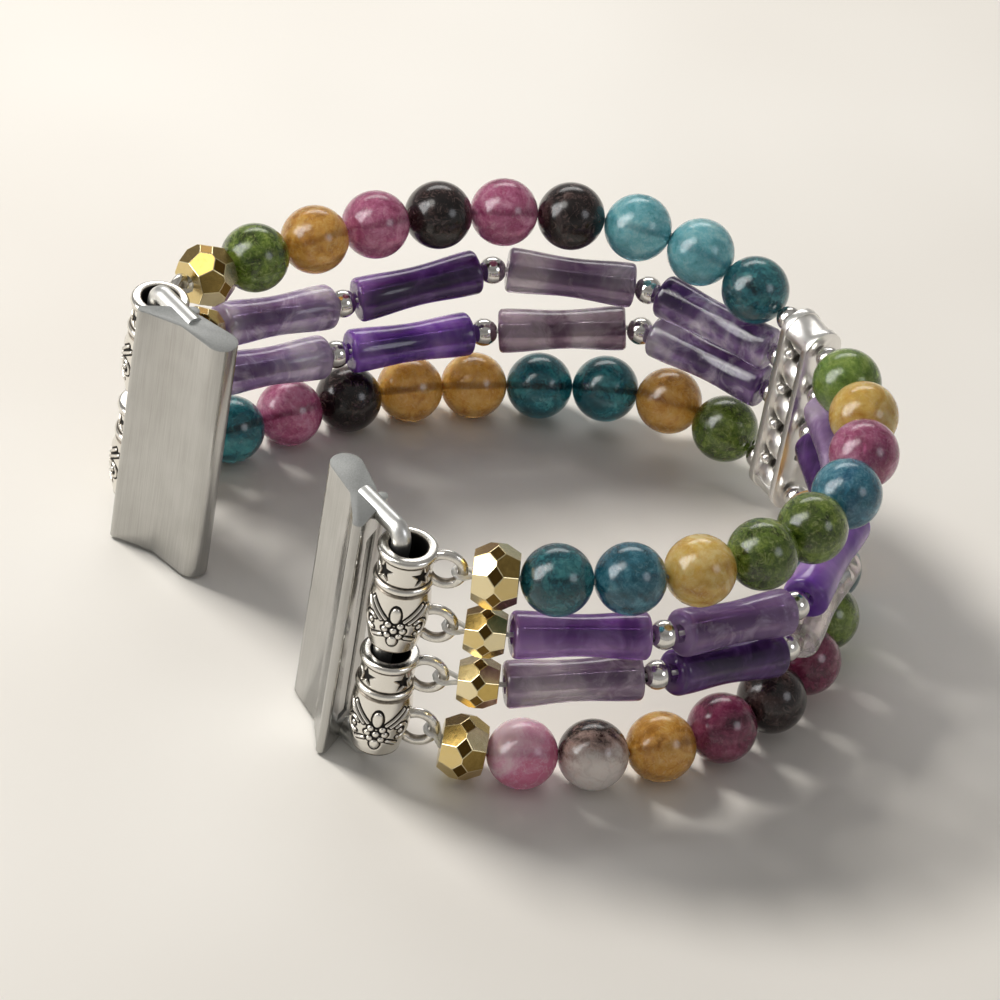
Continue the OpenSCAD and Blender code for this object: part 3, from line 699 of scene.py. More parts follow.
@dataclass
class Studio:
    """Camera, floor and soft lights round the band. Places are in millimetres."""

    camera_at: tuple[float, float, float] = (331.90, -312.10, 375.52)
    heading_deg: float = 47.24
    pitch_deg: float = 38.60
    roll_deg: float = 10.48
    lens_mm: float = 180.44
    sensor_mm: float = 36.0
    floor_mm: float = 4000.0
    world_level: float = 0.47
    # The key gives the shadows; the others are what the polished stones mirror: a
    # window at the left, a spot above, a pale wall behind and a weak one at the right.
    lamps: tuple[Lamp, ...] = (
        Lamp("key", (-0.60, -0.26, 0.75), 700, (200, 200), 4.0, "#FFFAF2", False),
        Lamp("window", (-0.37, -0.80, 0.47), 700, (420, 620), 4.4, "#FFFFFF", lights=False),
        Lamp("above", (-0.20, -0.50, 0.84), 700, (300, 300), 1.2, "#FFFDF8", lights=False),
        Lamp("wall", (-0.72, 0.42, 0.56), 800, (700, 230), 1.5, "#FFFEFC"),
        Lamp("weak", (0.757, 0.296, 0.582), 800, (330, 330), 0.75, "#F6F8FF", lights=False),
    )

    def camera(self) -> None:
        """Makes the camera at the photograph's viewing angle."""
        heading = math.radians(self.heading_deg)
        pitch = math.radians(self.pitch_deg)
        roll = math.radians(self.roll_deg)
        ahead = Vector((
            -math.sin(heading) * math.cos(pitch),
            math.cos(heading) * math.cos(pitch),
            -math.sin(pitch),
        ))
        level = ahead.cross(UP).normalized()
        rise = level.cross(ahead)
        right = math.cos(roll) * level + math.sin(roll) * rise
        top = -math.sin(roll) * level + math.cos(roll) * rise
        turn = Matrix((right, top, -ahead)).transposed().to_4x4()
        data = bpy.data.cameras.new("camera")
        data.lens = self.lens_mm
        data.sensor_width = self.sensor_mm
        data.clip_start = 0.01
        data.clip_end = 20.0
        camera = bpy.data.objects.new("camera", data)
        camera.matrix_world = Matrix.Translation(Vector(self.camera_at) * MM) @ turn
        bpy.context.scene.collection.objects.link(camera)
        bpy.context.scene.camera = camera

    def lights(self) -> None:
        """Hangs the lamps and makes a pale sky."""
        for lamp in self.lamps:
            lamp.hang()
        world = bpy.data.worlds.new("pale sky")
        world.use_nodes = True
        tree = world.node_tree
        tree.nodes.clear()
        # The sky is pale at the horizon and overhead and darker between, so that
        # bright metal has something dark to show.
        direction = tree.nodes.new("ShaderNodeTexCoord")
        split = tree.nodes.new("ShaderNodeSeparateXYZ")
        ramp = tree.nodes.new("ShaderNodeValToRGB")
        background = tree.nodes.new("ShaderNodeBackground")
        output = tree.nodes.new("ShaderNodeOutputWorld")
        stops = [(0.0, "#F6F4F1"), (0.2, "#F1EFEC"), (0.6, "#AEABA7"), (1.0, "#E2E0DD")]
        while len(ramp.color_ramp.elements) < len(stops):
            ramp.color_ramp.elements.new(0.5)
        for element, (place, colour) in zip(ramp.color_ramp.elements, stops):
            element.position = place
            element.color = linear(colour)
        background.inputs["Strength"].default_value = self.world_level
        tree.links.new(direction.outputs["Generated"], split.inputs[0])
        tree.links.new(split.outputs["Z"], ramp.inputs["Fac"])
        tree.links.new(ramp.outputs["Color"], background.inputs["Color"])
        tree.links.new(background.outputs[0], output.inputs["Surface"])
        bpy.context.scene.world = world
        bpy.context.scene.view_settings.view_transform = "Standard"

    def floor(self) -> None:
        """Lays the pale floor under the band."""
        bpy.ops.object.select_all(action="DESELECT")
        bpy.ops.mesh.primitive_plane_add(size=self.floor_mm * MM, location=(0, 0, 0))
        floor = bpy.context.object
        floor.name = "floor"
        dress(floor, Plaster().material())

    def build(self) -> None:
        """Builds the camera, the lights and the floor."""
        self.camera()
        self.lights()
        self.floor()


# -------------------------------------------------------------- the band's parts


class Side(Enum):
    """The two halves of the band, as seen from the watch's face."""

    RIGHT = "right"
    LEFT = "left"


def loose_centres(node: bpy.types.Object) -> list[Vector]:
    """Finds the middles of the separate solids in a CAD node.

    Args:
        node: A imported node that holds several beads.

    Returns:
        The middle of each solid's box.
    """
    work = merged_copy(node, "count_" + node.name)
    select_only(work)
    bpy.ops.object.mode_set(mode="EDIT")
    bpy.ops.mesh.select_all(action="SELECT")
    bpy.ops.mesh.separate(type="LOOSE")
    bpy.ops.object.mode_set(mode="OBJECT")
    parts = list(bpy.context.selected_objects)
    centres = []
    for part in parts:
        co = coordinates(part)
        centres.append(Vector((co.min(0) + co.max(0)) / 2) * MM)
    for part in parts:
        bpy.data.objects.remove(part)
    return centres


def placed(centre: Vector, axis: Vector, spin: float = 0.0) -> Matrix:
    """Gives the placement of a piece drawn along Z.

    Args:
        centre: Where its middle goes, in metres.
        axis: Where its Z axis points.
        spin: Turn about its own axis in radians.

    Returns:
        The matrix that moves the template there.
    """
    turn = UP.rotation_difference(axis.normalized()).to_matrix().to_4x4()
    return Matrix.Translation(centre) @ turn @ Matrix.Rotation(spin, 4, "Z")


def measured(node: bpy.types.Object, axis: Vector) -> tuple[Vector, float, float]:
    """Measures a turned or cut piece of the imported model.

    Args:
        node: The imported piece.
        axis: Direction of its bore.

    Returns:
        Its middle in metres, and its length and greatest diameter in millimetres.
    """
    co = coordinates(node)
    turn = np.array(placed(Vector(), axis).to_3x3())
    own = co @ turn
    low, high = own.min(0), own.max(0)
    middle = (low + high) / 2
    radius = np.hypot(own[:, 0] - middle[0], own[:, 1] - middle[1]).max()
    return Vector(turn @ middle) * MM, float(high[2] - low[2]), float(2 * radius)


@dataclass
class RoundBeads:
    """Round stone beads of one strand, each with its own stone and drilled bore."""

    strand: str
    right_stones: tuple[Stone, ...]
    left_stones: tuple[Stone, ...]
    bead_d: float = 8.1
    bore_d: float = 1.2
    chamfer: float = 0.07
    segments: int = 48
    rings: int = 38

    def template(self) -> bpy.types.Object:
        """Models one drilled bead along Z: a ball, bored through and chamfered."""
        bpy.ops.object.select_all(action="DESELECT")
        bpy.ops.mesh.primitive_uv_sphere_add(
            segments=self.segments, ring_count=self.rings, radius=self.bead_d / 2 * MM
        )
        bead = bpy.context.object
        bore = bmesh.new()
        bore.from_mesh(bead.data)
        limit = (self.bore_d / 2 + 0.02) * MM
        caps = [
            f for f in bore.faces
            if all(math.hypot(v.co.x, v.co.y) < limit for v in f.verts)
        ]
        bmesh.ops.delete(bore, geom=caps, context="FACES")
        bore.to_mesh(bead.data)
        bore.free()
        select_only(bead)
        bpy.ops.object.mode_set(mode="EDIT")
        bpy.ops.mesh.select_all(action="DESELECT")
        bpy.ops.mesh.select_mode(type="EDGE")
        bpy.ops.mesh.select_non_manifold()
        bpy.ops.mesh.bridge_edge_loops()
        bpy.ops.mesh.select_all(action="SELECT")
        bpy.ops.mesh.normals_make_consistent(inside=False)
        bpy.ops.object.mode_set(mode="OBJECT")
        bevelled(bead, self.chamfer, 2, 50)
        smooth(bead, 50)
        return bead

    def build(self, frame: dict, materials: dict[Stone, bpy.types.Material]) -> None:
        """Sets a bead on every bead of the strand, in the order of the photograph.

        Args:
            frame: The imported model.
            materials: The stones' materials.
        """
        found = []
        for name, node in frame["nodes"].items():
            if name.startswith(self.strand + "_") and name.endswith("_beads"):
                found += [(c, name) for c in loose_centres(node)]
        spacer_low, spacer_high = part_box("spacer_bar")
        spacer = (spacer_low + spacer_high) / 2
        start = math.atan2(spacer.x, spacer.y)

        def turn(entry: tuple[Vector, str]) -> float:
            """Angle of a bead round the band, from the spacer bar to the right."""
            angle = math.atan2(entry[0].x, entry[0].y) - start
            return (angle + math.pi) % math.tau - math.pi

        found.sort(key=turn)
        right = [e for e in found if turn(e) > 0]
        left = [e for e in reversed(found) if turn(e) < 0]
        template = self.template()
        seeded = random.Random(7)
        for side, row, stones in (
            (Side.RIGHT, right, self.right_stones), (Side.LEFT, left, self.left_stones)
        ):
            for i, ((centre, node), stone) in enumerate(zip(row, stones)):
                before = row[max(i - 1, 0)][0]
                after = row[min(i + 1, len(row) - 1)][0]
                bead = copied(
                    template, f"{side.value}_{self.strand}_bead_{i + 1}",
                    placed(centre, after - before, seeded.uniform(0, math.tau)),
                )
                # The side gradient: the milky stone's own halves, and on the blush bead painted light.
                if stone.value.zone_and_lit_side_share:
                    out = (coordinates(bead) * MM - np.array(centre)) / (self.bead_d / 2 * MM)
                    attribute(bead, "seam", out @ np.array(stone.value.seam))
                dress(bead, materials[stone])
                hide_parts(node)
                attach(bead, "band")
        bpy.data.objects.remove(template)
        LOG.info("%s strand: %d and %d beads", self.strand, len(right), len(left))


@dataclass
class StoneTubes:
    """Waisted amethyst tubes of the two middle strands, each with its own stone."""

    waist_d: float = 4.8
    rim_r: float = 0.55
    bore_d: float = 1.3
    countersink: float = 0.45
    steps: int = 18
    segments: int = 48

    def profile(self, length: float, end_d: float) -> list[tuple[float, float]]:
        """Gives the outline of a tube: bore, rounded rims and the waisted side.

        Args:
            length: Length of the tube in millimetres.
            end_d: Diameter of its ends.

        Returns:
            Points of radius and height, once round the section.
        """
        half = length / 2
        bore = self.bore_d / 2
        side = []
        for i in range(-self.steps, self.steps + 1):
            t = i / self.steps
            swell = (1 - math.cos(math.pi * abs(t))) / 2
            radius = (self.waist_d + (end_d - self.waist_d) * swell) / 2
            side.append((radius, t * (half - self.rim_r)))
        rim = []
        for k in range(1, 6):
            a = math.radians(90 * k / 6)
            rim.append((
                end_d / 2 - self.rim_r * (1 - math.cos(a)),
                half - self.rim_r * (1 - math.sin(a)),
            ))
        top = rim + [
            (end_d / 2 - self.rim_r, half), (bore + self.countersink, half),
            (bore, half - self.countersink),
        ]
        bottom = [(r, -z) for r, z in reversed(top)]
        return bottom + side + top

    def build(self, frame: dict, stones: dict[str, Quartz]) -> None:
        """Replaces each tube by one of its own stone, slightly out of round.

        Args:
            frame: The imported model.
            stones: Which amethyst each tube node is cut from.
        """
        seeded = random.Random(11)
        for joint in frame["joints"]:
            node = joint["child"]
            if node not in stones:
                continue
            axis = Vector(joint["axis"]).normalized()
            centre, length, end_d = measured(frame["nodes"][node], axis)
            tube = spun(node + "_stone", self.profile(length, end_d), self.segments)
            smooth(tube, 40)
            spin = Matrix.Rotation(seeded.uniform(0, math.tau), 4, "Z")
            oval = Matrix.Diagonal((1.0, seeded.uniform(0.955, 0.985), 1.0, 1.0))
            tube.data.transform(placed(centre, axis) @ spin @ oval)
            dress(tube, stones[node].value.material(axis))
            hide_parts(node)
            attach(tube, node)
        LOG.info("tubes: %d", len(stones))


@dataclass
class SilverBalls:
    """Hollow silver balls between the tubes and beside the spacer bar."""

    ball_d: float = 3.4
    end_ball_d: float = 3.0
    bore_d: float = 1.3
    lip: float = 0.16

    def template(self, diameter: float) -> bpy.types.Object:
        """Models a drilled ball with the rolled lips of a pressed bead."""
        radius = diameter / 2
        bore = self.bore_d / 2
        reach = math.sqrt(radius ** 2 - (bore + self.lip) ** 2)
        start = math.degrees(math.asin(reach / radius))
        wall = [
            (radius * math.cos(math.radians(a)), radius * math.sin(math.radians(a)))
            for a in np.linspace(-start, start, 22)
        ]
        lip = [
            (bore + self.lip * 0.55, reach + self.lip * 0.1), (bore, reach - self.lip * 0.3)
        ]
        profile = [(r, -z) for r, z in reversed(lip)] + wall + lip
        ball = spun("silver_ball", profile, 36)
        smooth(ball, 50)
        return ball

    def build(self, frame: dict, material: bpy.types.Material) -> None:
        """Sets a ball on every ball of the four strands.

        Args:
            frame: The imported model.
            material: The polished silver.
        """
        small = self.template(self.end_ball_d)
        large = self.template(self.ball_d)
        low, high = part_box("spacer_bar")
        spacer = (low + high) / 2
        for number in range(1, 5):
            node = f"silver_balls_{number}"
            centres = sorted(loose_centres(frame["nodes"][node]), key=lambda c: c.x)
            for i, centre in enumerate(centres):
                near = (centre.xy - spacer.xy).length < 8 * MM
                # A ball's bore lies along the band, square to its place round the wrist.
                axis = Vector((-centre.y, centre.x, 0.0))
                ball = copied(
                    small if near else large, f"silver_ball_{number}_{i + 1}",
                    placed(centre, axis),
                )
                dress(ball, material)
                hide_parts(node)
                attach(ball, "band")
        for template in (small, large):
            bpy.data.objects.remove(template)
        LOG.info("silver balls set")


@dataclass
class Rondelles:
    """Gilt faceted rondelles, one at each end of a strand, ground facet by facet."""

    facets: int = 8
    bore_d: float = 1.5
    rhomb_share: float = 0.31
    flat_share: float = 0.72
    edge: float = 0.06
    blank_over: float = 0.4
    # The side on which a small facet shows, as the band lies on a table.
    front: tuple[float, float, float] = (0.57, -0.53, 0.62)

    def cut(self, blank: bpy.types.Object, place: tuple[float, float, float],
            normal: tuple[float, float, float]) -> None:
        """Grinds one facet: what lies outside a plane goes, and the cut is closed.

        Args:
            blank: The piece of glass.
            place: A point of the plane in millimetres.
            normal: Direction out of the glass.
        """
        select_only(blank)
        bpy.ops.object.mode_set(mode="EDIT")
        bpy.ops.mesh.select_all(action="SELECT")
        bpy.ops.mesh.bisect(
            plane_co=[c * MM for c in place], plane_no=normal, use_fill=True,
            clear_outer=True, threshold=1e-7,
        )
        bpy.ops.object.mode_set(mode="OBJECT")

    def template(self, diameter: float, length: float) -> bpy.types.Object:
        """Cuts a rondelle along Z: upright rhombs round the belt, six-sided facets.

        Args:
            diameter: Width over the belt's corners in millimetres.
            length: Length along the bore.

        Returns:
            The cut glass.
        """
        step = math.tau / self.facets
        half_w = diameter * self.rhomb_share / 2
        face_r = math.sqrt((diameter / 2) ** 2 - half_w ** 2)
        belt_r = (face_r + half_w * math.tan(step / 2)) * math.cos(step / 2)
        flat_r = diameter / 2 * self.flat_share * math.cos(step / 2)
        slope = math.atan2(belt_r - flat_r, length / 2)
        bore, blank_r = self.bore_d / 2, diameter / 2 + self.blank_over
        glass = spun("rondelle", [
            (bore, -length / 2 + 0.2), (bore + 0.2, -length / 2), (blank_r, -length / 2),
            (blank_r, length / 2), (bore + 0.2, length / 2), (bore, length / 2 - 0.2),
        ], 48)
        for i in range(self.facets):
            a = i * step
            self.cut(glass, (face_r * math.cos(a), face_r * math.sin(a), 0.0),
                     (math.cos(a), math.sin(a), 0.0))
            a += step / 2
            for end in (1, -1):
                self.cut(
                    glass, (belt_r * math.cos(a), belt_r * math.sin(a), 0.0),
                    (math.cos(a) * math.cos(slope), math.sin(a) * math.cos(slope),
                     end * math.sin(slope)),
                )
        select_only(glass)
        bpy.ops.object.mode_set(mode="EDIT")
        bpy.ops.mesh.select_all(action="SELECT")
        bpy.ops.mesh.remove_doubles(threshold=0.002 * MM)
        bpy.ops.mesh.dissolve_limited(angle_limit=math.radians(0.5))
        bpy.ops.mesh.normals_make_consistent(inside=False)
        bpy.ops.object.mode_set(mode="OBJECT")
        return glass

    def build(self, frame: dict, material: bpy.types.Material) -> None:
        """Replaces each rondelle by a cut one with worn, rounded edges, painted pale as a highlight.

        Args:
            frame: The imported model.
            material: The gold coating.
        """
        seeded = random.Random(3)
        for joint in frame["joints"]:
            node = joint["child"]
            if "rondelle" not in node:
                continue
            axis = Vector(joint["axis"]).normalized()
            centre, length, diameter = measured(frame["nodes"][node], axis)
            piece = self.template(diameter, length)
            piece.name = piece.data.name = node + "_gilt"
            bevelled(piece, self.edge, 2, 12)
            self.tone_and_reflection(piece, seeded)
            front = placed(Vector(), axis).to_3x3().transposed() @ Vector(self.front)
            piece.data.transform(placed(centre, axis, math.atan2(front.y, front.x)))
            dress(piece, material)
            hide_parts(node)
            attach(piece, node)
        LOG.info("rondelles cut")

    @staticmethod
    def tone_and_reflection(piece: bpy.types.Object, seeded: random.Random) -> None:
        """Writes one value per face: random tints on the large facets, a painted dark reflection on the
        rhombs and a painted pale highlight on the worn edges.
        """
        layer = piece.data.attributes.new("tone_and_reflection", "FLOAT", "FACE")
        largest = max(f.area for f in piece.data.polygons)
        values = []
        for face in piece.data.polygons:
            # Painted highlight: the small edge faces are set pale.
            if face.area < largest * 0.08:
                values.append(0.75)
            # Painted reflection: the rhombs round the belt are set dark.
            elif abs(face.normal.z) < 0.05:
                values.append(0.05)
            else:
                values.append(seeded.choice((0.25, 0.4, 0.55, 0.75)))
        layer.data.foreach_set("value", values)


@dataclass
class Pad:
    """One raised spot of a cast relief, in millimetres on the unrolled wall.

    kind is disc, bar or arc. A disc has a middle and two half widths; a bar runs
    from one point to another; an arc has a middle, a radius and two angles.
    """

    kind: str
    at: tuple[float, float]
    size: tuple[float, float]
    to: tuple[float, float] = (0.0, 0.0)
    width: float = 0.4

    def distance(self, u: np.ndarray, v: np.ndarray) -> np.ndarray:
        """Gives how far each point lies outside the pad, below zero inside it.

        Args:
            u: Places along the wall.
            v: Places up the wall.

        Returns:
            Distances in millimetres.
        """
        du, dv = u - self.at[0], v - self.at[1]
        if self.kind == "disc":
            a, b = self.size
            k = np.hypot(du / a, dv / b)
            return (k - 1.0) * min(a, b)
        if self.kind == "bar":
            ex, ey = self.to[0] - self.at[0], self.to[1] - self.at[1]
            t = np.clip((du * ex + dv * ey) / (ex * ex + ey * ey), 0.0, 1.0)
            return np.hypot(du - t * ex, dv - t * ey) - self.width / 2
        low, high = (math.radians(a) for a in self.to)
        middle, half = (low + high) / 2, (high - low) / 2
        angle = np.arctan2(dv, du) - middle
        angle = (angle + math.pi) % math.tau - math.pi
        held = np.clip(angle, -half, half) + middle
        radius = self.size[0]
        return np.hypot(du - radius * np.cos(held), dv - radius * np.sin(held)) - self.width / 2


def star_distance(u: np.ndarray, v: np.ndarray, radius: float, inner: float) -> np.ndarray:
    """Gives the distance to a five-pointed star, below zero inside it.

    Args:
        u: Places across, in millimetres.
        v: Places up, in millimetres.
        radius: Outer radius of the star.
        inner: Share of the radius at its inner corners.

    Returns:
        Distances in millimetres.
    """
    c, s = math.cos(math.radians(36)), math.sin(math.radians(36))
    x, y = np.abs(u), v.copy()
    for kx in (c, -c):
        d = np.maximum(kx * x - s * y, 0.0)
        x, y = x - 2 * d * kx, y + 2 * d * s
    x = np.abs(x)
    y = y - radius
    bx, by = inner * s, inner * c - 1.0
    h = np.clip((x * bx + y * by) / (bx * bx + by * by), 0.0, radius)
    return np.hypot(x - bx * h, y - by * h) * np.sign(y * bx - x * by)


@dataclass
class Bail:
    """A cast bail with its ring: what the two kinds share. Drawn upright, ring to +X."""

    bore_d: float = 4.2
    ring_r: float = 2.0
    ring_wire_d: float = 1.15
    ring_reach: float = 4.35
    around: int = 300

    def ring(self, height: float, wall_r: float) -> bpy.types.Object:
        """Models the ring and cuts it off inside the wall.

        Args:
            height: Height of its middle above the bail's foot.
            wall_r: Radius at which it ends inside the wall.

        Returns:
            The ring with its recess attribute.
        """
        bpy.ops.object.select_all(action="DESELECT")
        bpy.ops.mesh.primitive_torus_add(
            major_radius=self.ring_r * MM, minor_radius=self.ring_wire_d / 2 * MM,
            major_segments=72, minor_segments=28,
            location=(self.ring_reach * MM, 0, height * MM),
            rotation=(math.radians(90), 0, 0),
        )
        ring = bpy.context.object
        bpy.ops.object.transform_apply(location=True, rotation=True, scale=True)
        bpy.ops.object.select_all(action="DESELECT")
        bpy.ops.mesh.primitive_cylinder_add(
            vertices=64, radius=wall_r * MM, depth=20 * MM, location=(0, 0, height * MM)
        )
        cutter = bpy.context.object
        cut = ring.modifiers.new("cut", "BOOLEAN")
        cut.operation = "DIFFERENCE"
        cut.object = cutter
        apply_modifiers(ring)
        bpy.data.objects.remove(cutter)
        co = coordinates(ring)
        middle = np.hypot(co[:, 0] - self.ring_reach, co[:, 2] - height)
        inner = 1 - smoothstep(
            self.ring_r - self.ring_wire_d * 0.5, self.ring_r - self.ring_wire_d * 0.2, middle
        )
        root = 1 - smoothstep(wall_r + 0.35, wall_r + 0.95, np.hypot(co[:, 0], co[:, 1]))
        side = smoothstep(0.3, 0.57, np.abs(co[:, 1])) * 0.15
        attribute(ring, "recess", np.clip(np.maximum(np.maximum(inner * 0.55, root), side), 0, 1))
        return ring


@dataclass
class StarBail(Bail):
    """Short collar with two round rims, a bored middle and incised stars."""

    height: float = 4.8
    rim_d: float = 6.8
    band_d: float = 6.1
    rim_h: float = 0.95
    star_r: float = 1.36
    star_inner: float = 0.4
    star_depth: float = 0.3
    star_turns: tuple[float, ...] = (45.0, 135.0, 225.0, 315.0)
    rows: int = 46

    def build(self) -> bpy.types.Object:
        """Models the collar: a turned wall, stars sunk into it and the ring."""
        h, rim, band = self.height, self.rim_d / 2, self.band_d / 2
        soft = self.rim_h / 2

        def rim_round(centre: float, start: float, end: float) -> list[tuple[float, float]]:
            """Half round of a rim between two angles."""
            return [
                (rim - soft + soft * math.cos(a), centre + soft * math.sin(a))
                for a in np.radians(np.linspace(start, end, 9))
            ]
        low, high = self.rim_h + 0.06, h - self.rim_h - 0.06
        wall = [(band, z) for z in np.linspace(low, high, self.rows)]
        bore = self.bore_d / 2
        profile = (
            [(bore + 0.25, 0.0)] + rim_round(soft, -90, 62) + wall
            + rim_round(h - soft, -62, 90)
            + [(bore + 0.25, h), (bore + 0.07, h - 0.07), (bore, h - 0.25), (bore, 0.25),
               (bore + 0.07, 0.07)]
        )
        collar = spun("star_bail", profile, self.around)
        co = coordinates(collar)
        radius = np.hypot(co[:, 0], co[:, 1])
        on_wall = (np.abs(radius - band) < 0.02) & (co[:, 2] > low - 0.01) & (co[:, 2] < high + 0.01)
        sunk = np.zeros(len(co))
        for turn in self.star_turns:
            angle = np.arctan2(co[:, 1], co[:, 0]) - math.radians(turn)
            angle = (angle + math.pi) % math.tau - math.pi
            d = star_distance(angle * band, co[:, 2] - h / 2, self.star_r, self.star_inner)
            sunk = np.maximum(sunk, 1 - smoothstep(-0.06, 0.07, d))
        sunk = np.where(on_wall, sunk, 0.0)
        scale = 1 - sunk * self.star_depth / np.maximum(radius, 1.0)
        co[:, 0] *= scale
        co[:, 1] *= scale
        move_vertices(collar, co)
        # Black stays in the stars, in the corners under the rims and in the bore.
        corner = np.maximum(
            1 - smoothstep(0.0, 0.3, np.abs(co[:, 2] - low)),
            1 - smoothstep(0.0, 0.3, np.abs(co[:, 2] - high)),
        ) * (radius < band + 0.12)
        inside = 1 - smoothstep(bore + 0.05, bore + 0.35, radius)
        attribute(collar, "recess", np.clip(np.maximum(np.maximum(sunk, corner * 0.85), inside), 0, 1))
        smooth(collar, 60)
        return joined([collar, self.ring(h / 2, self.bore_d / 2 + 0.35)], "star_bail")


@dataclass
class FlowerBail(Bail):
    """Barrel with a cast flower on two sides, curled leaves between and a ring."""

    height: float = 8.5
    ring_drop: float = 5.3
    barrel_d: float = 7.0
    foot_d: float = 5.4
    top_inset: float = 0.25
    rim_d: float = 6.8
    full_share: float = 0.6
    flower_share: float = 0.45
    relief: float = 0.2
    groove: float = 0.15
    rows: int = 120
    flower_turns: tuple[float, ...] = (-90.0, 90.0)

    def pads(self) -> list[Pad]:
        """Lists the raised spots of one flower and of the leaves at its sides."""
        bead, petal, reach = 0.42, 0.4, 1.05
        spots = [Pad("disc", (0.0, 0.0), (bead, bead))]
        for turn in (0, 48, 132, 180, 228, 312):
            a = math.radians(turn)
            spots.append(Pad("disc", (reach * math.cos(a), reach * math.sin(a)), (petal, petal)))
        spots.append(Pad("disc", (0.0, 2.15), (0.62, 1.05)))
        spots.append(Pad("disc", (0.0, -1.65), (0.62, 0.75)))
        for m in (1.0, -1.0):
            spots += [
                Pad("bar", (m * 1.1, 1.45), (0, 0), (m * 3.2, 3.3), 0.42),
                Pad("bar", (m * 1.65, 1.2), (0, 0), (m * 3.9, 2.9), 0.4),
                Pad("disc", (m * 3.0, 0.35), (0.34, 0.34)),
                Pad("bar", (m * 1.45, -1.0), (0, 0), (m * 2.7, -1.55), 0.46),
            ]
            arc = (-110.0, 130.0) if m > 0 else (50.0, 290.0)
            spots.append(Pad("arc", (m * 3.0, 0.3), (0.92, 0.92), arc, 0.42))
        return spots

    def radius(self, t: float) -> float:
        """Radius of the plain barrel at a share of its height."""
        foot, full = self.foot_d / 2, self.barrel_d / 2
        top = self.rim_d / 2 - self.top_inset
        if t < self.full_share:
            return foot + (full - foot) * math.sin(math.pi / 2 * t / self.full_share)
        return top + (full - top) * math.cos(
            math.pi / 2 * (t - self.full_share) / (1 - self.full_share)
        )

    def build(self) -> bpy.types.Object:
        """Models the barrel: a turned wall, the relief raised on it and the ring."""
        h, bore = self.height, self.bore_d / 2
        wall = [
            (self.radius(t), t * h) for t in np.linspace(0.025, 0.98, self.rows)
        ]
        profile = (
            [(bore + 0.2, 0.0), (self.radius(0) - 0.12, 0.02)] + wall
            + [(self.radius(1) - 0.12, h), (bore + 0.2, h), (bore, h - 0.2), (bore, 0.2)]
        )
        barrel = spun("flower_bail", profile, self.around)
        co = coordinates(barrel)
        radius = np.hypot(co[:, 0], co[:, 1])
        plain = np.array([self.radius(min(max(z / h, 0.0), 1.0)) for z in co[:, 2]])
        on_wall = (np.abs(radius - plain) < 0.03) & (co[:, 2] > 0.15) & (co[:, 2] < h - 0.1)
        nearest = np.full(len(co), 9.0)
        for turn in self.flower_turns:
            angle = np.arctan2(co[:, 1], co[:, 0]) - math.radians(turn)
            angle = (angle + math.pi) % math.tau - math.pi
            u = angle * self.barrel_d / 2
            v = co[:, 2] - h * self.flower_share
            for pad in self.pads():
                nearest = np.minimum(nearest, pad.distance(u, v))
        dome = np.sqrt(np.clip(-nearest / 0.36, 0.0, 1.0))
        trench = np.exp(-((nearest - 0.09) / 0.11) ** 2)
        rise = np.where(on_wall, dome * self.relief - trench * self.groove, 0.0)
        scale = 1 + rise / np.maximum(radius, 1.0)
        co[:, 0] *= scale
        co[:, 1] *= scale
        move_vertices(barrel, co)
        # Black stays in the trench round each raised spot, at the foot and in the bore.
        black = np.where(on_wall, smoothstep(0.12, 0.6, trench), 0.0)
        inside = 1 - smoothstep(bore + 0.05, bore + 0.3, radius)
        foot = 1 - smoothstep(0.1, 0.55, co[:, 2])
        top = smoothstep(h - 0.4, h - 0.12, co[:, 2]) * (radius > plain - 0.15)
        worn = np.maximum(np.maximum(black, inside), np.maximum(foot * 0.8, top * 0.6))
        attribute(barrel, "recess", np.clip(worn, 0, 1))
        smooth(barrel, 60)
        ring = self.ring(h - self.ring_drop, self.bore_d / 2 + 0.35)
        return joined([barrel, ring], "flower_bail")


@dataclass
class Bails:
    """The eight bails, set on the places of their CAD nodes."""

    def place(self, frame: dict, side: Side, node: str) -> Matrix:
        """Finds a bail's place from its node's box and the side's swing joint.

        Args:
            frame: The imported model.
            side: Which end of the band it hangs at.
            node: The bail's node.

        Returns:
            The placement of a bail that is drawn upright with its ring to +X.
        """
        joints = {j["name"]: j for j in frame["joints"]}
        loop = Vector(joints[side.value + "_loop_swing"]["pos_m"])
        co = coordinates(frame["nodes"][node]) * MM
        low = co[:, 2].min()
        ring_reach, wire = Bail.ring_reach, Bail.ring_r
        # The bail's axis: its farthest points from the loop lie opposite the ring.
        flat = co[:, :2] - np.array(loop.xy)
        far = flat[np.argsort(np.hypot(flat[:, 0], flat[:, 1]))[-20:]].mean(0)
        axis = Vector((far[0], far[1], 0.0)).normalized()
        middle = Vector((loop.x, loop.y, 0.0)) + axis * (ring_reach + wire) * MM
        turn = math.atan2(-axis.y, -axis.x)
        return (
            Matrix.Translation((middle.x, middle.y, low)) @ Matrix.Rotation(turn, 4, "Z")
        )

    def build(self, frame: dict, material: bpy.types.Material) -> None:
        """Replaces the bails by cast ones with relief and blackened recesses.

        Args:
            frame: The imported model.
            material: The blackened cast silver.
        """
        star = StarBail().build()
        flower = FlowerBail().build()
        for side in Side:
            for number in range(1, 5):
                node = f"{side.value}_bail_{number}"
                kind = star if number in (1, 3) else flower
                place = self.place(frame, side, node)
                if number in (1, 3):
                    # The ring of a star bail reaches past its rims.
                    ring_over = Bail.ring_r + Bail.ring_wire_d / 2 - StarBail.height / 2
                    place = Matrix.Translation((0, 0, ring_over * MM)) @ place
                bail = copied(kind, node + "_cast", place)
                dress(bail, material)
                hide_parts(node)
                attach(bail, side.value + "_bails")
        for template in (star, flower):
            bpy.data.objects.remove(template)
        LOG.info("bails set")


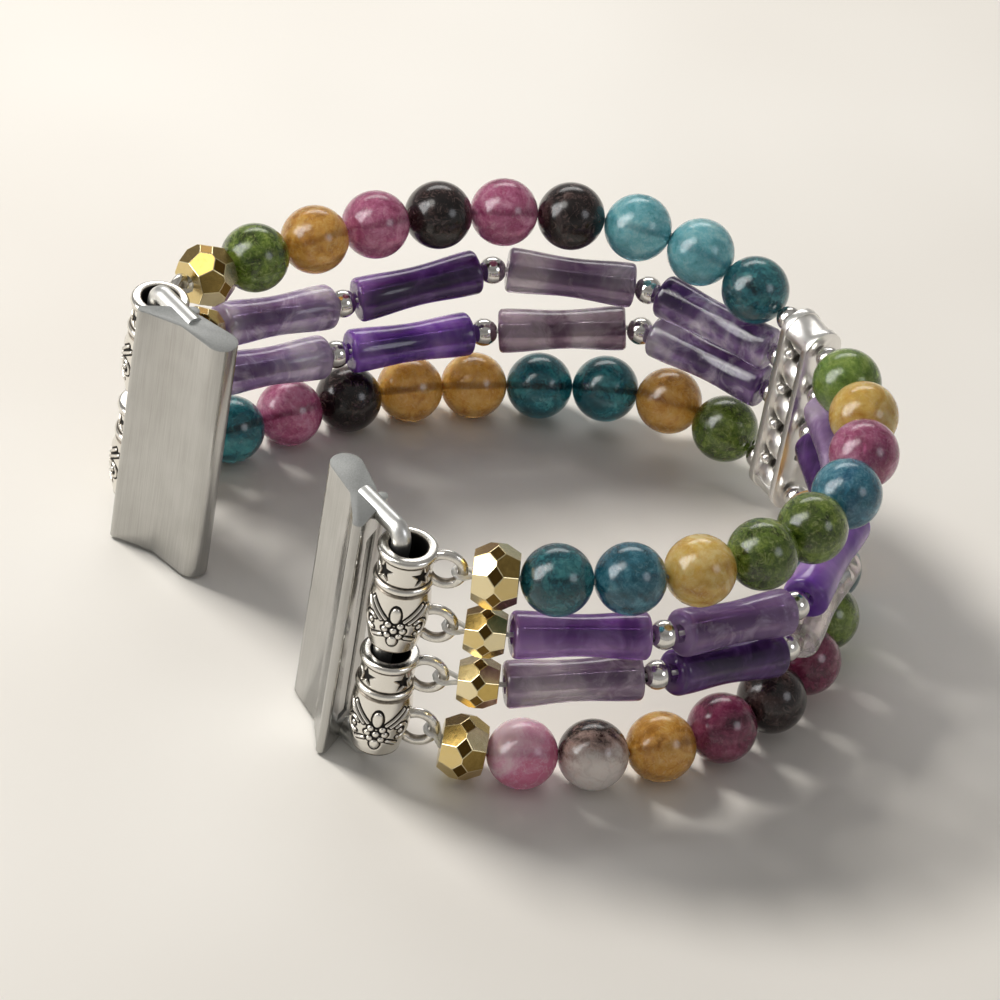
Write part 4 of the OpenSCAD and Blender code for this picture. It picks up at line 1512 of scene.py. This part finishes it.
@dataclass
class SpacerBar:
    """The cast spacer bar, with softened edges and black between its granules."""

    edge: float = 0.14
    inner_share: float = 0.62

    def build(self, frame: dict, material: bpy.types.Material) -> None:
        """Rounds the casting and darkens what lies between its plates.

        Args:
            frame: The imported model.
            material: The bright cast silver.
        """
        piece = merged_copy(frame["nodes"]["spacer_bar"], "spacer_bar_cast")
        bevelled(piece, self.edge, 2, 40)
        low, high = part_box("spacer_bar")
        middle = (low + high) / 2 / MM
        co = coordinates(piece)
        out = np.hypot(co[:, 0] - middle.x, co[:, 1] - middle.y)
        attribute(piece, "recess", np.clip(1 - smoothstep(0.9, 2.1, out), 0, 1))
        smooth(piece, 40)
        dress(piece, material)
        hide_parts("spacer_bar")
        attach(piece, "band")
        LOG.info("spacer bar dressed")


@dataclass
class Lugs:
    """The two steel adapters with satin ends, and the wire bars fixed in them."""

    edge: float = 0.18

    def build(self, frame: dict, ground: bpy.types.Material, polished: bpy.types.Material,
              satin: bpy.types.Material) -> None:
        """Rounds the adapters, finishes their faces and replaces the bars.

        Args:
            frame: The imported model.
            ground: Finish of the adapters' ends.
            polished: Finish of the adapters' long faces.
            satin: Finish of the wire bars.
        """
        for side in Side:
            name = f"{side.value}_adapter"
            body = merged_copy(frame["nodes"][name], name + "_steel")
            bevelled(body, self.edge, 2, 40)
            body.data.materials.clear()
            body.data.materials.append(polished)
            body.data.materials.append(ground)
            for face in body.data.polygons:
                face.material_index = 1 if abs(face.normal.z) > 0.8 else 0
            smooth(body, 30)
            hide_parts(name)
            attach(body, side.value + "_lug")
            bar_name = f"{side.value}_bar"
            bar = merged_copy(frame["nodes"][bar_name], bar_name + "_steel")
            smooth(bar, 40)
            dress(bar, satin)
            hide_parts(bar_name)
            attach(bar, side.value + "_lug")
        LOG.info("lugs dressed")


@dataclass
class Cords:
    """The four elastic cords, rounded from the eight-sided routes of the frame."""

    def build(self, frame: dict, material: bpy.types.Material) -> None:
        """Replaces each cord by a round one on the same route.

        Args:
            frame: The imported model.
            material: The clear elastic.
        """
        for number in range(1, 5):
            name = f"cord_{number}"
            cord = merged_copy(frame["nodes"][name], name + "_elastic")
            smooth(cord, 60)
            dress(cord, material)
            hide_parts(name)
            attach(cord, "band")
        LOG.info("cords dressed")


TUBE_STONES = {
    "right_upper_tube_1": Quartz.PLUM,
    "right_upper_tube_2": Quartz.LILAC,
    "right_upper_tube_3": Quartz.VIVID,
    "right_upper_tube_4": Quartz.LILAC,
    "left_upper_tube_1": Quartz.PALE,
    "left_upper_tube_2": Quartz.DEEP,
    "left_upper_tube_3": Quartz.SMOKY,
    "left_upper_tube_4": Quartz.STREAKED,
    "right_lower_tube_1": Quartz.SMOKY,
    "right_lower_tube_2": Quartz.DEEP,
    "right_lower_tube_3": Quartz.CLEAR,
    "right_lower_tube_4": Quartz.DEEP,
    "left_lower_tube_1": Quartz.PALE,
    "left_lower_tube_2": Quartz.VIVID,
    "left_lower_tube_3": Quartz.MAUVE,
    "left_lower_tube_4": Quartz.STREAKED,
}

# Stones from the spacer bar to the bails.
TOP_RIGHT = (
    Stone.SPRING, Stone.HONEY, Stone.ROSE, Stone.BLUE_TEAL, Stone.OLIVE, Stone.OLIVE,
    Stone.HONEY, Stone.SEA_BLUE, Stone.DARK_TEAL,
)
TOP_LEFT = (
    Stone.DARK_TEAL, Stone.PALE_TEAL, Stone.PALE_TEAL, Stone.BROWN, Stone.ROSE,
    Stone.BROWN, Stone.ROSE, Stone.AMBER, Stone.OLIVE,
)
BASE_RIGHT = (
    Stone.AMBER, Stone.DARK_TEAL, Stone.OLIVE, Stone.MAGENTA, Stone.BROWN,
    Stone.MAGENTA, Stone.AMBER, Stone.MILKY, Stone.BLUSH,
)
BASE_LEFT = (
    Stone.OLIVE, Stone.AMBER, Stone.DARK_TEAL, Stone.DARK_TEAL, Stone.AMBER,
    Stone.AMBER, Stone.BROWN, Stone.ROSE, Stone.DARK_TEAL,
)


def main() -> None:
    """Builds the studio and every visible piece of the band."""
    logging.basicConfig(level=logging.INFO, format="%(message)s")
    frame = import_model()
    Studio().build()
    jade = {stone: stone.value.material() for stone in Stone}
    RoundBeads("top", TOP_RIGHT, TOP_LEFT).build(frame, jade)
    RoundBeads("base", BASE_RIGHT, BASE_LEFT).build(frame, jade)
    StoneTubes().build(frame, TUBE_STONES)
    mirror = PolishedMetal("polished_silver", "#EAE8E4", "#D9D6D1", 0.13)
    SilverBalls().build(frame, mirror.material())
    Rondelles().build(frame, GiltGlass().material())
    Bails().build(frame, CastSilver("blackened_cast_silver").material())
    SpacerBar().build(
        frame, CastSilver("bright_cast_silver", "#F0EEEA", "#D2CEC6", "#5A5550", 0.28).material()
    )
    Lugs().build(
        frame,
        PolishedMetal("ground_steel", "#9C9D9B", "#8E8F8D", 0.5).material(),
        PolishedMetal("polished_steel", "#BDBCB9", "#AFAEAA", 0.2).material(),
        PolishedMetal("satin_steel", "#E4E4E1", "#D6D6D3", 0.34).material(),
    )
    Cords().build(frame, ClearElastic().material())


if __name__ == "__main__":
    main()
